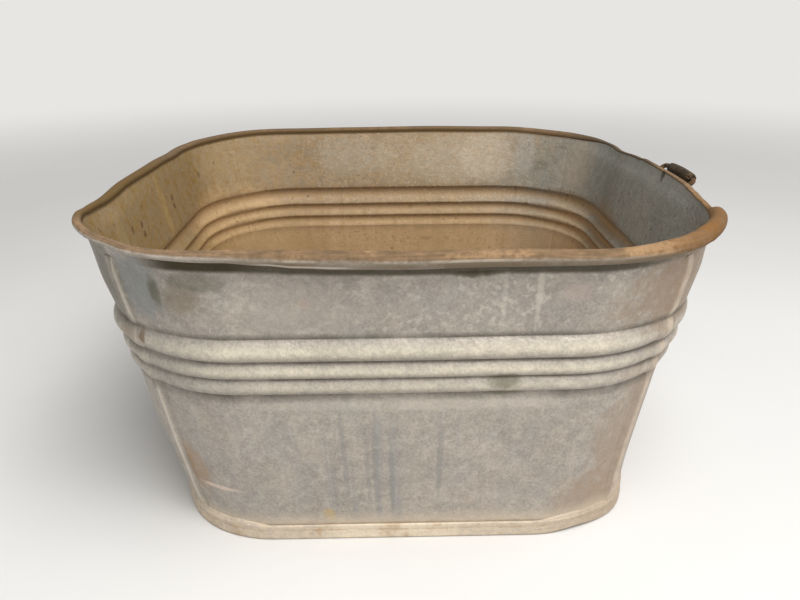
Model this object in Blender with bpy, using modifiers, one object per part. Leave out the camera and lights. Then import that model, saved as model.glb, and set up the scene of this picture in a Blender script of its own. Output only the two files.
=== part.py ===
"""Square galvanised wash tub: four beaded wall sheets, seamed floor, wired rim, two drop handles."""

import math
from collections import namedtuple

import bmesh
import bpy
from mathutils import Vector

# Driving dimensions, in metres and degrees
RIM_OUTSIDE = 0.559
HEIGHT = 0.297
FOOT_OUTSIDE = 0.451
SHEET = 0.00075
FIT = 0.0003
WELD_GAP = 1e-6
SMOOTH_ANGLE = 40

# Plan corners: distance of the corner arcs' centres from the middle of the tub
CORNER_SPREAD = 0.132
FOOT_SPREAD = 0.117
CORNER_ANGLES = (0, 14, 28)

# Swaged beads: the creases between them, from low to high, and how far each bead stands out
CREASE_HEIGHTS = (0.1611, 0.1765, 0.1931, 0.2155)
LOW_CREASE_HALF = 0.2417
TOP_CREASE_HALF = 0.2508
BEAD_DEPTHS = (0.0036, 0.0042, 0.0057)
CREASE_RADIUS = 0.0042
CREST_STEPS = 4

# Rolled rim and the rod that stiffens it
ROLL_RADIUS = 0.0068
ROLL_TURN = 300
ROLL_STEPS = 10
ROD_RADIUS = 0.0055

# Corner lock seams: four layers of sheet hooked together
SEAM_HALF = 0.0025
SEAM_STEP = 0.0036
SEAM_FLAT = 0.0066
SEAM_TUCK = 0.0004
SEAM_TOP = 0.273
SEAM_NOTCH = 0.0006
BUTT_HALF = 0.00025
FOLD_STEPS = 3

# Foot seam: the floor's edge folded over the walls' flange
FOOT_SEAM_HEIGHT = 0.0153
FOOT_BEND = 0.002
BEND_STEPS = 3

# Drop handles
PIVOT_HEIGHT = 0.263
HANDLE_ARM = 0.041
WIRE_RADIUS = 0.0025
WIRE_BEND = 0.005
PIN_BEND = 0.004
PIN_LENGTH = 0.022
GRIP_LENGTH = 0.070
GRIP_RADIUS = 0.0068
GRIP_END_RADIUS = 0.0054
GRIP_BORE = 0.0031
GRIP_PLAY = 0.0008
GRIP_SIDES = 16
GRIP_STATIONS = (1, 0.7, 0.3, -0.3, -0.7, -1)
RIGHT_REST = 35
LEFT_REST = -90

# Ears that carry the handles, and their rivets
EAR_WIDTH = 0.018
EAR_STRAP = 0.0024
EAR_LEG = 0.028
EYE_RADIUS = 0.0044
EYE_BORE = 0.0029
EYE_STEPS = 12
EAR_SIDE_PLAY = 0.001
RIVET_DROPS = (0.011, 0.021)
RIVET_RADIUS = 0.002
RIVET_SIDES = 12
RIVET_HOLE = 0.0024
HOLE_SIDES = 16
HOLE_DEPTH = 0.02
HEAD_RADIUS = 0.0038
HEAD_HEIGHT = 0.0022
HEAD_STEPS = 4
TAIL_RADIUS = 0.0034
TAIL_HEIGHT = 0.0014

# Derived sizes
LAYER = SHEET + FIT
ROLL_MIDDLE = ROLL_RADIUS - SHEET / 2
ROLL_CENTRE = Vector((RIM_OUTSIDE / 2 - ROLL_RADIUS, HEIGHT - ROLL_RADIUS))
FOOT_WALL = FOOT_OUTSIDE / 2 - SHEET / 2 - 3 * LAYER
FOLD_HEIGHT = 2 * SHEET + FIT + LAYER
SEAM_FOOT = FOOT_SEAM_HEIGHT + SEAM_NOTCH
TOP_CREASE = Vector((TOP_CREASE_HALF, CREASE_HEIGHTS[-1]))
TO_ROLL = ROLL_CENTRE - TOP_CREASE
BAND_TILT = math.atan2(TO_ROLL.x, TO_ROLL.y) - math.asin(ROLL_MIDDLE / TO_ROLL.length)
BAND_UP = Vector((math.sin(BAND_TILT), math.cos(BAND_TILT)))
BAND_OUT = Vector((math.cos(BAND_TILT), -math.sin(BAND_TILT)))
ARM_SIDE = GRIP_LENGTH / 2 + GRIP_PLAY + WIRE_BEND
EAR_SIDE = ARM_SIDE + PIN_BEND + EAR_SIDE_PLAY + EAR_WIDTH / 2

Row = namedtuple("Row", "half height spread normal")


def clear_scene():
    for obj in list(bpy.data.objects):
        bpy.data.objects.remove(obj, do_unlink=True)


def new_collection(name):
    collection = bpy.data.collections.new(name)
    bpy.context.scene.collection.children.link(collection)
    return collection


clear_scene()
TUB = new_collection("wash_tub")
CUTTERS = new_collection("cutters")


def material(name, colour, roughness, metallic):
    made = bpy.data.materials.new(name)
    made.use_nodes = True
    shader = made.node_tree.nodes["Principled BSDF"]
    shader.inputs["Base Color"].default_value = (*colour, 1)
    shader.inputs["Roughness"].default_value = roughness
    shader.inputs["Metallic"].default_value = metallic
    return made


ZINC = material("galvanised_sheet", (0.42, 0.40, 0.36), 0.55, 0.6)
ROD_STEEL = material("rim_rod_steel", (0.25, 0.22, 0.19), 0.6, 0.8)
RUSTY_WIRE = material("rusty_wire", (0.16, 0.10, 0.06), 0.75, 0.5)
RIVET_STEEL = material("rivet_steel", (0.33, 0.29, 0.24), 0.6, 0.7)
DARK_WOOD = material("dark_wood", (0.055, 0.035, 0.02), 0.7, 0.0)


def add_object(name, data, surface, collection=TUB):
    obj = bpy.data.objects.new(name, data)
    collection.objects.link(obj)
    if surface:
        data.materials.append(surface)
    return obj


def smooth(mesh):
    mesh.shade_smooth()
    mesh.set_sharp_from_angle(angle=math.radians(SMOOTH_ANGLE))


def as_mesh(curve_object):
    """Replace a curve object by a welded mesh object of the same name and place."""
    bpy.context.view_layer.update()
    graph = bpy.context.evaluated_depsgraph_get()
    mesh = bpy.data.meshes.new_from_object(curve_object.evaluated_get(graph))
    bm = bmesh.new()
    bm.from_mesh(mesh)
    bmesh.ops.remove_doubles(bm, verts=bm.verts, dist=WELD_GAP)
    bm.to_mesh(mesh)
    bm.free()
    name = curve_object.name
    place = curve_object.matrix_world.copy()
    bpy.data.objects.remove(curve_object)
    obj = add_object(name, mesh, None)
    obj.matrix_world = place
    return obj


def arc(centre, radius, start, end, steps):
    """Points of an arc from one angle to another, both ends included."""
    angles = [math.radians(start + (end - start) * i / steps) for i in range(steps + 1)]
    return [Vector((centre[0] + radius * math.cos(a), centre[1] + radius * math.sin(a))) for a in angles]


def bead_points(low, high, depth):
    """One bead from its low crease up to the end of its crest, tangent to round creases."""
    along = (high - low).normalized()
    out = Vector((along.y, -along.x))
    length = (high - low).length
    swing = 2 * math.atan(2 * depth / length)
    crest_radius = length / 2 / math.sin(swing) - CREASE_RADIUS
    centre = low + along * length / 2 + out * (depth - crest_radius)
    turns = [swing * (2 * i / CREST_STEPS - 1) for i in range(CREST_STEPS + 1)]
    crest = [centre + crest_radius * (along * math.sin(t) + out * math.cos(t)) for t in turns]
    return [low, *crest]


def corner_spread(height):
    """Corner arcs' centre distance: it narrows from the lowest crease down to the foot seam."""
    share = (height - SEAM_FOOT) / (CREASE_HEIGHTS[0] - SEAM_FOOT)
    return FOOT_SPREAD + (CORNER_SPREAD - FOOT_SPREAD) * min(max(share, 0), 1)


def mitred_normal(before, point, after):
    """Outward normal at a profile point, lengthened so that offset layers keep their distance."""
    normals = []
    for start, end in ((before, point), (point, after)):
        run = (end - start).normalized()
        normals.append(Vector((run.y, -run.x)))
    return (normals[0] + normals[1]) / (1 + normals[0].dot(normals[1]))


def profile_rows(points):
    rows = []
    for i, point in enumerate(points):
        before = points[i - 1] if i else 2 * point - points[i + 1]
        after = points[i + 1] if i + 1 < len(points) else 2 * point - points[i - 1]
        spread = corner_spread(point.y)
        rows.append(Row(point.x, point.y, spread, mitred_normal(before, point, after)))
    return rows


def foot_hook():
    """Wall edge folded outward and up, caught by the floor's edge, and the stretch above it."""
    top = FOOT_SEAM_HEIGHT - SHEET / 2 - LAYER - SEAM_TUCK
    fold = arc((FOOT_WALL + LAYER, FOLD_HEIGHT), LAYER, 0, -180, FOLD_STEPS)
    return [Vector((FOOT_WALL + 2 * LAYER, top)), *fold, Vector((FOOT_WALL, SEAM_FOOT))]


def beaded_wall():
    """Wall as far as the corner seams reach: lower wall, three beads and the upper band."""
    heights = CREASE_HEIGHTS
    span = heights[-1] - heights[0]
    rise = TOP_CREASE_HALF - LOW_CREASE_HALF
    creases = [Vector((LOW_CREASE_HALF + rise * (z - heights[0]) / span, z)) for z in heights]
    foot = Vector((FOOT_WALL, SEAM_FOOT))
    up = (creases[0] - foot).normalized()
    points = [foot + up * SEAM_NOTCH]
    for low, high, depth in zip(creases, creases[1:], BEAD_DEPTHS):
        points += bead_points(low, high, depth)
    return points + [creases[-1], band_point(SEAM_TOP)]


def band_point(height):
    """Point of the upper band, which runs from the top crease at a tangent to the roll."""
    return TOP_CREASE + BAND_UP * (height - TOP_CREASE.y) / BAND_UP.y


def rolled_rim():
    """Top of the upper band and the roll that turns outward over the rod and back to the wall."""
    start = 180 - math.degrees(BAND_TILT)
    roll = arc(ROLL_CENTRE, ROLL_MIDDLE, start, start - ROLL_TURN, ROLL_STEPS)
    return [band_point(SEAM_TOP + SEAM_NOTCH), *roll]


def corner_point(row, side, angle):
    """Plan point of the front wall on its left (-1) or right (1) corner, from its straight stretch."""
    radius = row.half - row.spread
    turn = math.radians(angle)
    across = row.spread + radius * math.sin(turn)
    return Vector((side * across, -row.spread - radius * math.cos(turn), row.height))


def seam_point(row, side, shift, lift):
    """Point of the flat seam strip across the middle of a corner, lifted off the wall sheet."""
    lifted = row._replace(half=row.half + lift * row.normal.x, height=row.height + lift * row.normal.y)
    along = Vector((1, side, 0)).normalized()
    return corner_point(lifted, side, 45) + shift * along


def left_columns(angles):
    strip = [lambda row: seam_point(row, -1, SEAM_FLAT, 0)]
    return strip + [lambda row, a=a: corner_point(row, -1, a) for a in reversed(angles)]


def right_columns(angles):
    strip = [lambda row: seam_point(row, 1, -SEAM_FLAT, 0)]
    return [lambda row, a=a: corner_point(row, 1, a) for a in angles] + strip


def hook_columns(side, path):
    return [lambda row, p=p: seam_point(row, side, p[0], p[1]) for p in path]


def add_patch(bm, columns, rows):
    """Grid of faces over some columns and rows of the wall surface."""
    grid = [[bm.verts.new(column(row)) for column in columns] for row in rows]
    for low, high in zip(grid, grid[1:]):
        for i in range(len(columns) - 1):
            bm.faces.new((low[i], low[i + 1], high[i + 1], high[i]))


def finish_sheet(bm, name):
    """Weld the patches into one sheet surface."""
    bmesh.ops.remove_doubles(bm, verts=bm.verts, dist=WELD_GAP)
    mesh = bpy.data.meshes.new(name)
    bm.to_mesh(mesh)
    bm.free()
    smooth(mesh)
    return mesh


def add_thickness(obj):
    solidify = obj.modifiers.new("sheet", "SOLIDIFY")
    solidify.thickness = SHEET
    solidify.offset = 0
    solidify.use_even_offset = True


def wall_mesh(name):
    """One wall sheet: inner hook at its left corner, outer hook at its right corner."""
    foot = foot_hook()
    rim = rolled_rim()
    rows = profile_rows(foot + beaded_wall() + rim)
    foot_rows = rows[:len(foot)]
    seam_rows = rows[len(foot):-len(rim)]
    rim_rows = rows[-len(rim):]

    inner_fold = arc((-SEAM_HALF, LAYER), LAYER, -90, -270, FOLD_STEPS)
    inner_path = [*inner_fold, (SEAM_HALF - SEAM_TUCK, 2 * LAYER)]
    outer_fold = arc((SEAM_HALF, 2 * LAYER), LAYER, 90, -90, FOLD_STEPS)
    outer_path = [(-SEAM_STEP, 3 * LAYER), *outer_fold, (SEAM_TUCK - SEAM_HALF, LAYER)]

    left = left_columns(CORNER_ANGLES)
    right = right_columns(CORNER_ANGLES)
    bm = bmesh.new()
    add_patch(bm, left + right, rows)
    add_patch(bm, hook_columns(-1, reversed(inner_path)) + left[:1], seam_rows)
    add_patch(bm, right[-1:] + hook_columns(1, outer_path), seam_rows)
    for butt_rows in (foot_rows, rim_rows):
        add_patch(bm, hook_columns(-1, [(BUTT_HALF, 0)]) + left[:1], butt_rows)
        add_patch(bm, right[-1:] + hook_columns(1, [(-BUTT_HALF, 0)]), butt_rows)
    return finish_sheet(bm, name)


def add_wall(name, quarter):
    wall = add_object(name, wall_mesh(name), ZINC)
    wall.rotation_euler.z = quarter * math.pi / 2
    add_thickness(wall)
    return wall


def whole_ring(row):
    """All plan points of a rounded square, side by side round the tub."""
    points = []
    for quarter in range(4):
        turn = quarter * math.pi / 2
        for column in left_columns(CORNER_ANGLES) + right_columns(CORNER_ANGLES):
            point = column(row)
            across = point.x * math.cos(turn) - point.y * math.sin(turn)
            deep = point.x * math.sin(turn) + point.y * math.cos(turn)
            points.append(Vector((across, deep, point.z)))
    return points


def add_floor_pan():
    """Flat floor whose edge turns up outside the walls and folds down over their flange."""
    leg = FOOT_WALL + 3 * LAYER
    ground = SHEET / 2
    fold_height = FOOT_SEAM_HEIGHT - SHEET / 2 - LAYER
    bend = arc((leg - FOOT_BEND, ground + FOOT_BEND), FOOT_BEND, -90, 0, BEND_STEPS)
    fold = arc((leg - LAYER, fold_height), LAYER, 0, 180, FOLD_STEPS)
    end = Vector((leg - 2 * LAYER, FOLD_HEIGHT + SEAM_TUCK))
    rows = profile_rows([*bend, *fold, end])

    bm = bmesh.new()
    rings = [[bm.verts.new(point) for point in whole_ring(row)] for row in rows]
    bm.faces.new(list(reversed(rings[0])))
    for low, high in zip(rings, rings[1:]):
        for i, start in enumerate(low):
            after = (i + 1) % len(low)
            bm.faces.new((start, low[after], high[after], high[i]))
    pan = add_object("floor_pan", finish_sheet(bm, "floor_pan"), ZINC)
    add_thickness(pan)


def add_tube(name, points, radius, surface, closed=False):
    """Round wire along a path of straight runs and bends."""
    curve = bpy.data.curves.new(name, "CURVE")
    curve.dimensions = "3D"
    curve.bevel_depth = radius
    curve.bevel_resolution = 2
    curve.use_fill_caps = True
    spline = curve.splines.new("POLY")
    spline.points.add(len(points) - 1)
    for spot, point in zip(spline.points, points):
        spot.co = (*point, 1)
    spline.use_cyclic_u = closed
    return add_object(name, curve, surface)


def add_rim_rod():
    row = Row(ROLL_CENTRE.x, ROLL_CENTRE.y, CORNER_SPREAD, Vector((1, 0)))
    add_tube("rim_rod", whole_ring(row), ROD_RADIUS, ROD_STEEL, closed=True)


def add_pivot(name, quarter):
    """Empty on a handle's hinge line, on the right side of the tub or turned round to the left."""
    middle = band_point(PIVOT_HEIGHT) + BAND_OUT * (SHEET / 2 + FIT + EYE_RADIUS)
    pivot = bpy.data.objects.new(name, None)
    TUB.objects.link(pivot)
    facing = math.cos(quarter * math.pi / 2)
    pivot.location = (facing * middle.x, 0, middle.y)
    pivot.rotation_euler.z = quarter * math.pi / 2
    return pivot


def hang_on(child, parent, location, rotation):
    child.parent = parent
    child.location = location
    child.rotation_euler = rotation


def bail_path():
    """Half of the bail from its pin to the middle of the grip, then the other half mirrored."""
    pin_end = Vector((0, ARM_SIDE + PIN_BEND + PIN_LENGTH))
    pin_turn = arc((PIN_BEND, ARM_SIDE + PIN_BEND), PIN_BEND, 180, 270, BEND_STEPS)
    grip_turn = arc((HANDLE_ARM - WIRE_BEND, ARM_SIDE - WIRE_BEND), WIRE_BEND, 90, 0, BEND_STEPS)
    half = [pin_end, *pin_turn, *grip_turn]
    other = [Vector((point.x, -point.y)) for point in reversed(half)]
    return [Vector((point.x, point.y, 0)) for point in half + other]


def add_bail(name, pivot, rest):
    bail = add_tube(name, bail_path(), WIRE_RADIUS, RUSTY_WIRE)
    hang_on(bail, pivot, (0, 0, 0), (0, -math.radians(rest), 0))
    return bail


def add_turned(name, profile, steps, surface, closed=False):
    """Solid turned round Z from a profile that runs down its outer side."""
    mesh = bpy.data.meshes.new(name)
    points = [(point[0], 0, point[1]) for point in profile]
    edges = [(i, i + 1) for i in range(len(points) - 1)]
    if closed:
        edges.append((len(points) - 1, 0))
    mesh.from_pydata(points, edges, [])
    obj = add_object(name, mesh, surface)
    screw = obj.modifiers.new("turn", "SCREW")
    screw.steps = steps
    screw.render_steps = steps
    screw.use_merge_vertices = True
    screw.merge_threshold = WELD_GAP
    screw.use_smooth_shade = True
    return obj


def add_grip(name, bail):
    """Turned wooden grip, swelled in the middle, loose on the bail's wire."""
    half = GRIP_LENGTH / 2
    swell = GRIP_RADIUS - GRIP_END_RADIUS
    outer = [(GRIP_RADIUS - swell * share ** 2, share * half) for share in GRIP_STATIONS]
    bore = [(GRIP_BORE, -half), (GRIP_BORE, half)]
    grip = add_turned(name, outer + bore, GRIP_SIDES, DARK_WOOD, closed=True)
    hang_on(grip, bail, (HANDLE_ARM, 0, 0), (math.pi / 2, 0, 0))


def add_rivet_holes(name, pivot, side):
    """Cutter: the two rivet holes of one ear, square to the wall."""
    bm = bmesh.new()
    for drop in RIVET_DROPS:
        made = bmesh.ops.create_cone(bm, cap_ends=True, segments=HOLE_SIDES, radius1=RIVET_HOLE,
                                     radius2=RIVET_HOLE, depth=HOLE_DEPTH)
        bmesh.ops.translate(bm, verts=made["verts"], vec=(0, drop, 0))
    mesh = bpy.data.meshes.new(name)
    bm.to_mesh(mesh)
    bm.free()
    cutter = add_object(name, mesh, None, CUTTERS)
    cutter.hide_render = True
    cutter.display_type = "WIRE"
    hang_on(cutter, pivot, (0, side, 0), rivet_turn())
    return cutter


def rivet_turn():
    """Rotation that points Z out of the wall and Y down it."""
    return (-math.pi / 2 - BAND_TILT, 0, -math.pi / 2)


def cut(obj, cutter):
    boolean = obj.modifiers.new(cutter.name, "BOOLEAN")
    boolean.operation = "DIFFERENCE"
    boolean.object = cutter


def ear_outline():
    """Strap laid on the wall and folded round the wire: x out of the wall, y up it, eye at the origin."""
    back = -EYE_RADIUS
    front = back + EAR_STRAP
    meet = math.degrees(math.atan2(-math.sqrt(EYE_RADIUS ** 2 - front ** 2), front))
    eye = arc((0, 0), EYE_RADIUS, meet, 180, EYE_STEPS)
    return [Vector((back, -EAR_LEG)), Vector((front, -EAR_LEG)), *eye]


def add_ear(name, pivot, side, holes):
    curve = bpy.data.curves.new(name, "CURVE")
    curve.dimensions = "2D"
    curve.fill_mode = "BOTH"
    curve.extrude = EAR_WIDTH / 2
    for outline in (ear_outline(), arc((0, 0), EYE_BORE, 0, 360, HOLE_SIDES)[:-1]):
        spline = curve.splines.new("POLY")
        spline.points.add(len(outline) - 1)
        for spot, point in zip(spline.points, outline):
            spot.co = (point.x, point.y, 0, 1)
        spline.use_cyclic_u = True
    shape = add_object(name, curve, ZINC)
    hang_on(shape, pivot, (0, side, 0), (math.pi / 2, BAND_TILT, 0))
    ear = as_mesh(shape)
    cut(ear, holes)
    return ear


def add_rivet(name, pivot, side, drop):
    """Rivet through an ear's strap and the wall: domed head outside, flat tail inside."""
    seat = -EYE_RADIUS + EAR_STRAP + FIT
    tail = -EYE_RADIUS - SHEET - 2 * FIT
    turns = [i * math.pi / 2 / HEAD_STEPS for i in range(HEAD_STEPS + 1)]
    dome = [(HEAD_RADIUS * math.sin(turn), seat + HEAD_HEIGHT * math.cos(turn)) for turn in turns]
    shank = [(RIVET_RADIUS, seat), (RIVET_RADIUS, tail)]
    foot = [(TAIL_RADIUS, tail), (TAIL_RADIUS, tail - TAIL_HEIGHT), (0, tail - TAIL_HEIGHT)]
    rivet = add_turned(name, dome + shank + foot, RIVET_SIDES, RIVET_STEEL)
    hang_on(rivet, pivot, (-drop * BAND_UP.x, side, -drop * BAND_UP.y), rivet_turn())


def add_handle(hand, quarter, rest, wall, near_end, far_end):
    """One drop handle with its two ears; near and far name the ends at -Y and +Y of its own side."""
    pivot = add_pivot(hand + "_handle_pivot", quarter)
    bail = add_bail(hand + "_bail", pivot, rest)
    add_grip(hand + "_grip", bail)
    for end, side in ((near_end, -EAR_SIDE), (far_end, EAR_SIDE)):
        label = hand + "_" + end + "_ear"
        holes = add_rivet_holes(label + "_holes", pivot, side)
        add_ear(label, pivot, side, holes)
        for place, drop in zip(("upper", "lower"), RIVET_DROPS):
            add_rivet(hand + "_" + end + "_" + place + "_rivet", pivot, side, drop)
        cut(wall, holes)


add_floor_pan()
add_wall("front_wall", 0)
right_wall = add_wall("right_wall", 1)
add_wall("back_wall", 2)
left_wall = add_wall("left_wall", 3)
add_rim_rod()
add_handle("right", 0, RIGHT_REST, right_wall, "front", "back")
add_handle("left", 2, LEFT_REST, left_wall, "back", "front")
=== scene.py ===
import math
from collections import namedtuple

import bmesh
import bpy
from mathutils import Matrix, Vector, noise


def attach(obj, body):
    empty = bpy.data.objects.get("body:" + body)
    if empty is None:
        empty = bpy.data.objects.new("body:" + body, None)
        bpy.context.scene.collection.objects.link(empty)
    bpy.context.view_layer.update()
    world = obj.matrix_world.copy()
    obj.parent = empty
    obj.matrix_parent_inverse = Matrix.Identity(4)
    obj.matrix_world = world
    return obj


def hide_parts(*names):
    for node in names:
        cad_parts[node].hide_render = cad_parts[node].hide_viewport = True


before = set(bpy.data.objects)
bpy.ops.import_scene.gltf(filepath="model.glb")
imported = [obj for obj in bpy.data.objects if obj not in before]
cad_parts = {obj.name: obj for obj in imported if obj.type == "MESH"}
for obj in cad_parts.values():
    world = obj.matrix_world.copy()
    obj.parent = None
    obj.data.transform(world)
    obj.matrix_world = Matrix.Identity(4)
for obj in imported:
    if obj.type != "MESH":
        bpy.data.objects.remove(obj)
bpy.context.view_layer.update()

# Wall sheets: the form. Each side of the tub is one sheet of galvanised steel that leans outward, with
# three beads swaged round it. Neighbours hook together in a lock seam down the middle of each corner,
# and the top edge is rolled outward over a rod.
SHEET = 0.00075
LAYER = 0.00105
FOOT_HALF = 0.221975
FOOT_BOTTOM = 0.004
FOOT_SEAM_TOP = 0.0159
CREASE_HEIGHTS = (0.1611, 0.1765, 0.1931, 0.2155)
LOW_CREASE_HALF = 0.2417
TOP_CREASE_HALF = 0.2508
BEAD_DEPTHS = (0.0036, 0.0042, 0.0057)
CREASE_RADIUS = 0.0016
SEAM_CREASE_RADIUS = 0.0042
SEAM_BEAD_SHARE = 0.85
# Where on each bead the crest share reaches full strength, towards its top: wear and a painted highlight on the upper
# face
WEAR_AND_HIGHLIGHT_UPWARD = -0.5
CREASE_DIRT_AND_SHADE_REACH = 0.0013
BAND_TILT = math.radians(11.605)
ROLL_RADIUS = 0.006425
ROLL_CENTRE = Vector((0.27188, 0.2862))
ROLL_TURN = math.radians(300)
CRIMP_TURN = math.radians(30)
CRIMP_LENGTH = 0.008
WALL_STEPS, CREASE_STEPS, CREST_STEPS, BAND_STEPS, ROLL_STEPS = 16, 5, 10, 14, 36
CORNER_SPREAD = 0.132
FOOT_SPREAD = 0.117
CORNER_LENGTH = 0.119
HALF_SIDE = CORNER_SPREAD + CORNER_LENGTH * math.pi / 4
SIDE = 2 * HALF_SIDE
ROUND = 4 * SIDE
SEAM_HALF = 0.0025
SEAM_STEP = 0.0036
SEAM_FLAT = 0.010
SEAM_TUCK = 0.0004
SEAM_TOP = 0.273
BUTT_HALF = 0.0
FOLD_STEPS = 6
SEAM_TAPER = 0.012
SEAM_PRESSED = 0.12
SEAM_OVER_BEADS = 0.40
SEAM_EDGE = 0.0032
SOLDER_OUTSIDE = ((0.0030, 0.0022), (0.0040, 0.0012), (0.0052, 0.0003), (0.0066, -0.0002))
SOLDER_INSIDE = ((-0.0094, 0.00005), (-0.0080, 0.00003), (-0.0040, 0.00003), (-0.0020, 0.0004))
FLAT_COLUMNS, CORNER_COLUMNS = 36, 13
CORNER_END = math.radians(39.5)

Row = namedtuple("Row", "half height out_half out_height crest crease roll")


def outward(tilt):
    """Direction square to a wall line that leans out by a tilt."""
    return Vector((math.cos(tilt), -math.sin(tilt)))


def spaced(start, end, steps):
    return [start + (end - start) * i / steps for i in range(steps + 1)]


def smooth_step(low, high, value):
    share = min(max((value - low) / (high - low), 0), 1)
    return share * share * (3 - 2 * share)


def even_step(low, high, value):
    return min(max((value - low) / (high - low), 0), 1)


def bead_line(crease_radius, depth_share):
    """Points over the three beads and the creases beside them, each with how near it is to a crest."""
    span = CREASE_HEIGHTS[-1] - CREASE_HEIGHTS[0]
    lean = math.atan2(TOP_CREASE_HALF - LOW_CREASE_HALF, span)
    out = outward(lean)
    rises = [(z - CREASE_HEIGHTS[0]) / span for z in CREASE_HEIGHTS]
    creases = [Vector((LOW_CREASE_HALF + (TOP_CREASE_HALF - LOW_CREASE_HALF) * rise, z))
               for rise, z in zip(rises, CREASE_HEIGHTS)]
    foot_tilt = math.atan2(LOW_CREASE_HALF - FOOT_HALF, CREASE_HEIGHTS[0] - FOOT_SEAM_TOP)
    tilt = foot_tilt
    line = []
    for low, high, depth in zip(creases, creases[1:], BEAD_DEPTHS):
        depth *= depth_share
        length = (high - low).length
        swing = 2 * math.atan(2 * depth / length)
        crest_radius = length / 2 / math.sin(swing) - crease_radius
        hollow = low + out * crease_radius
        turns = spaced(tilt, lean + swing, CREASE_STEPS)[bool(line):]
        line += [(hollow - outward(t) * crease_radius, 0) for t in turns]
        centre = (low + high) / 2 + out * (depth - crest_radius)
        for turn in spaced(swing, -swing, CREST_STEPS)[1:]:
            # The crest share fades out over the bead's lower face: wear and a painted highlight lie on its upper face.
            crest = (1 + math.cos(math.pi * turn / swing)) / 2 * smooth_step(1, WEAR_AND_HIGHLIGHT_UPWARD, turn / swing)
            line.append((centre + outward(lean + turn) * crest_radius, crest))
        tilt = lean - swing
    hollow = creases[-1] + out * crease_radius
    line += [(hollow - outward(t) * crease_radius, 0) for t in spaced(tilt, BAND_TILT, CREASE_STEPS)[1:]]
    return creases, line


def wall_rows(crease_radius, depth_share):
    """The sheet's section, at mid-thickness, from the foot to the end of the roll."""
    creases, beads = bead_line(crease_radius, depth_share)
    foot = Vector((FOOT_HALF, FOOT_SEAM_TOP))
    line = [(Vector((FOOT_HALF, FOOT_BOTTOM)), 0, 0)]
    line += [(point, 0, 0) for point in spaced(foot, beads[0][0], WALL_STEPS)[:-1]]
    line += [(point, crest, 0) for point, crest in beads]

    out = outward(BAND_TILT)
    up = Vector((-out.y, out.x))
    band_start = beads[-1][0]
    first_angle = math.pi - BAND_TILT + CRIMP_TURN
    angles = spaced(first_angle, math.pi - BAND_TILT - ROLL_TURN, ROLL_STEPS)
    roll = [ROLL_CENTRE + ROLL_RADIUS * Vector((math.cos(a), math.sin(a))) for a in angles]
    band_length = (roll[0] - band_start).dot(up)
    crimp_depth = (roll[0] - band_start).dot(out)
    for run in spaced(0, band_length, BAND_STEPS)[1:-1]:
        set_back = crimp_depth * smooth_step(band_length - CRIMP_LENGTH, band_length, run)
        line.append((band_start + up * run + out * set_back, 0, 0))
    line += [(point, 0, (i + 1) / (ROLL_STEPS + 1)) for i, point in enumerate(roll)]

    rows = []
    for i, (point, crest, roll_share) in enumerate(line):
        before = line[max(i - 1, 0)][0]
        after = line[min(i + 1, len(line) - 1)][0]
        along = (after - before).normalized()
        # How near the row is to a crease: the mask for dirt and painted shade along the creases.
        gap = min((point - crease).length for crease in creases)
        crease = math.exp(-(gap / CREASE_DIRT_AND_SHADE_REACH) ** 2)
        rows.append(Row(point.x, point.y, along.y, -along.x, crest, crease, roll_share))
    return rows


SHARP_ROWS = wall_rows(CREASE_RADIUS, 1)
SEAM_ROWS = wall_rows(SEAM_CREASE_RADIUS, SEAM_BEAD_SHARE)

# Bends of the old rim, by distance round the tub from the middle of the front: the place, how far the roll
# has risen, and the share of its height that is left where it was knocked flat
RIM_BENDS = (
    (-0.250, 0.0074, 0.38), (-0.214, 0.0070, 0.34), (-0.184, 0.0038, 0.45), (-0.130, 0.0036, 0.60),
    (-0.100, 0.0022, 0.82),
    (-0.075, 0.0006, 1.00), (-0.045, -0.0004, 1.04), (0.000, -0.0012, 1.00), (0.070, -0.0003, 0.95),
    (0.150, -0.0010, 0.82), (0.200, -0.0002, 0.98), (0.235, 0.0018, 1.12), (0.270, 0.0018, 1.05),
    (0.285, 0.0010, 0.95), (0.302, -0.0005, 0.32), (0.325, 0.0014, 0.32), (0.345, 0.0040, 0.31),
    (0.363, 0.0063, 0.30), (0.400, 0.0066, 0.30), (0.444, 0.0063, 0.30), (0.478, 0.0059, 0.30),
    (0.492, 0.0040, 0.30),
    (0.573, -0.0009, 0.30), (0.600, 0.0003, 0.32), (0.640, 0.0000, 0.65), (0.685, 0.0003, 0.74),
    (0.757, 0.0028, 0.70), (0.860, 0.0043, 0.70), (0.965, 0.0037, 0.70), (1.035, 0.0031, 0.70),
    (1.090, 0.0039, 0.70), (1.169, 0.0020, 0.70), (1.187, 0.0013, 0.66), (1.228, 0.0009, 0.60),
    (1.303, 0.0034, 0.60), (1.400, 0.0043, 0.60), (1.459, 0.0015, 0.60), (1.490, 0.0024, 0.58),
    (1.515, 0.0056, 0.52),
)
# Where the roll was squeezed narrower: the place, how far its outer edge went in and its inner edge out, and
# how steeply it now slopes down outward
RIM_CRUSHES = (
    (-0.250, 0.0015, 0.0050, 0.0), (-0.200, 0.0010, 0.0030, 0.0), (-0.130, 0.0000, 0.0000, 0.0),
    (0.284, 0.0000, 0.0000, 0.0), (0.303, 0.0045, 0.0015, 0.4), (0.345, 0.0036, 0.0016, 0.4),
    (0.400, 0.0020, 0.0020, 0.4), (0.600, 0.0020, 0.0020, 0.4),
    (0.660, 0.0000, 0.0000, 0.0), (1.300, 0.0000, 0.0000, 0.0), (1.420, 0.0000, 0.0020, 0.0),
    (1.500, 0.0005, 0.0050, 0.0),
)
CRUSH_START, CRUSH_END = 0.268, 0.284
WALL_BOWS = ((0.0, 0.09, 0.0015), (0.9, 0.10, 0.0012))
WAVE_LENGTH = 0.11
WAVE_DEPTH = 0.0007
RIM_BOW_SHARE = 0.15
RISE_LEAN = 0.1
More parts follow.
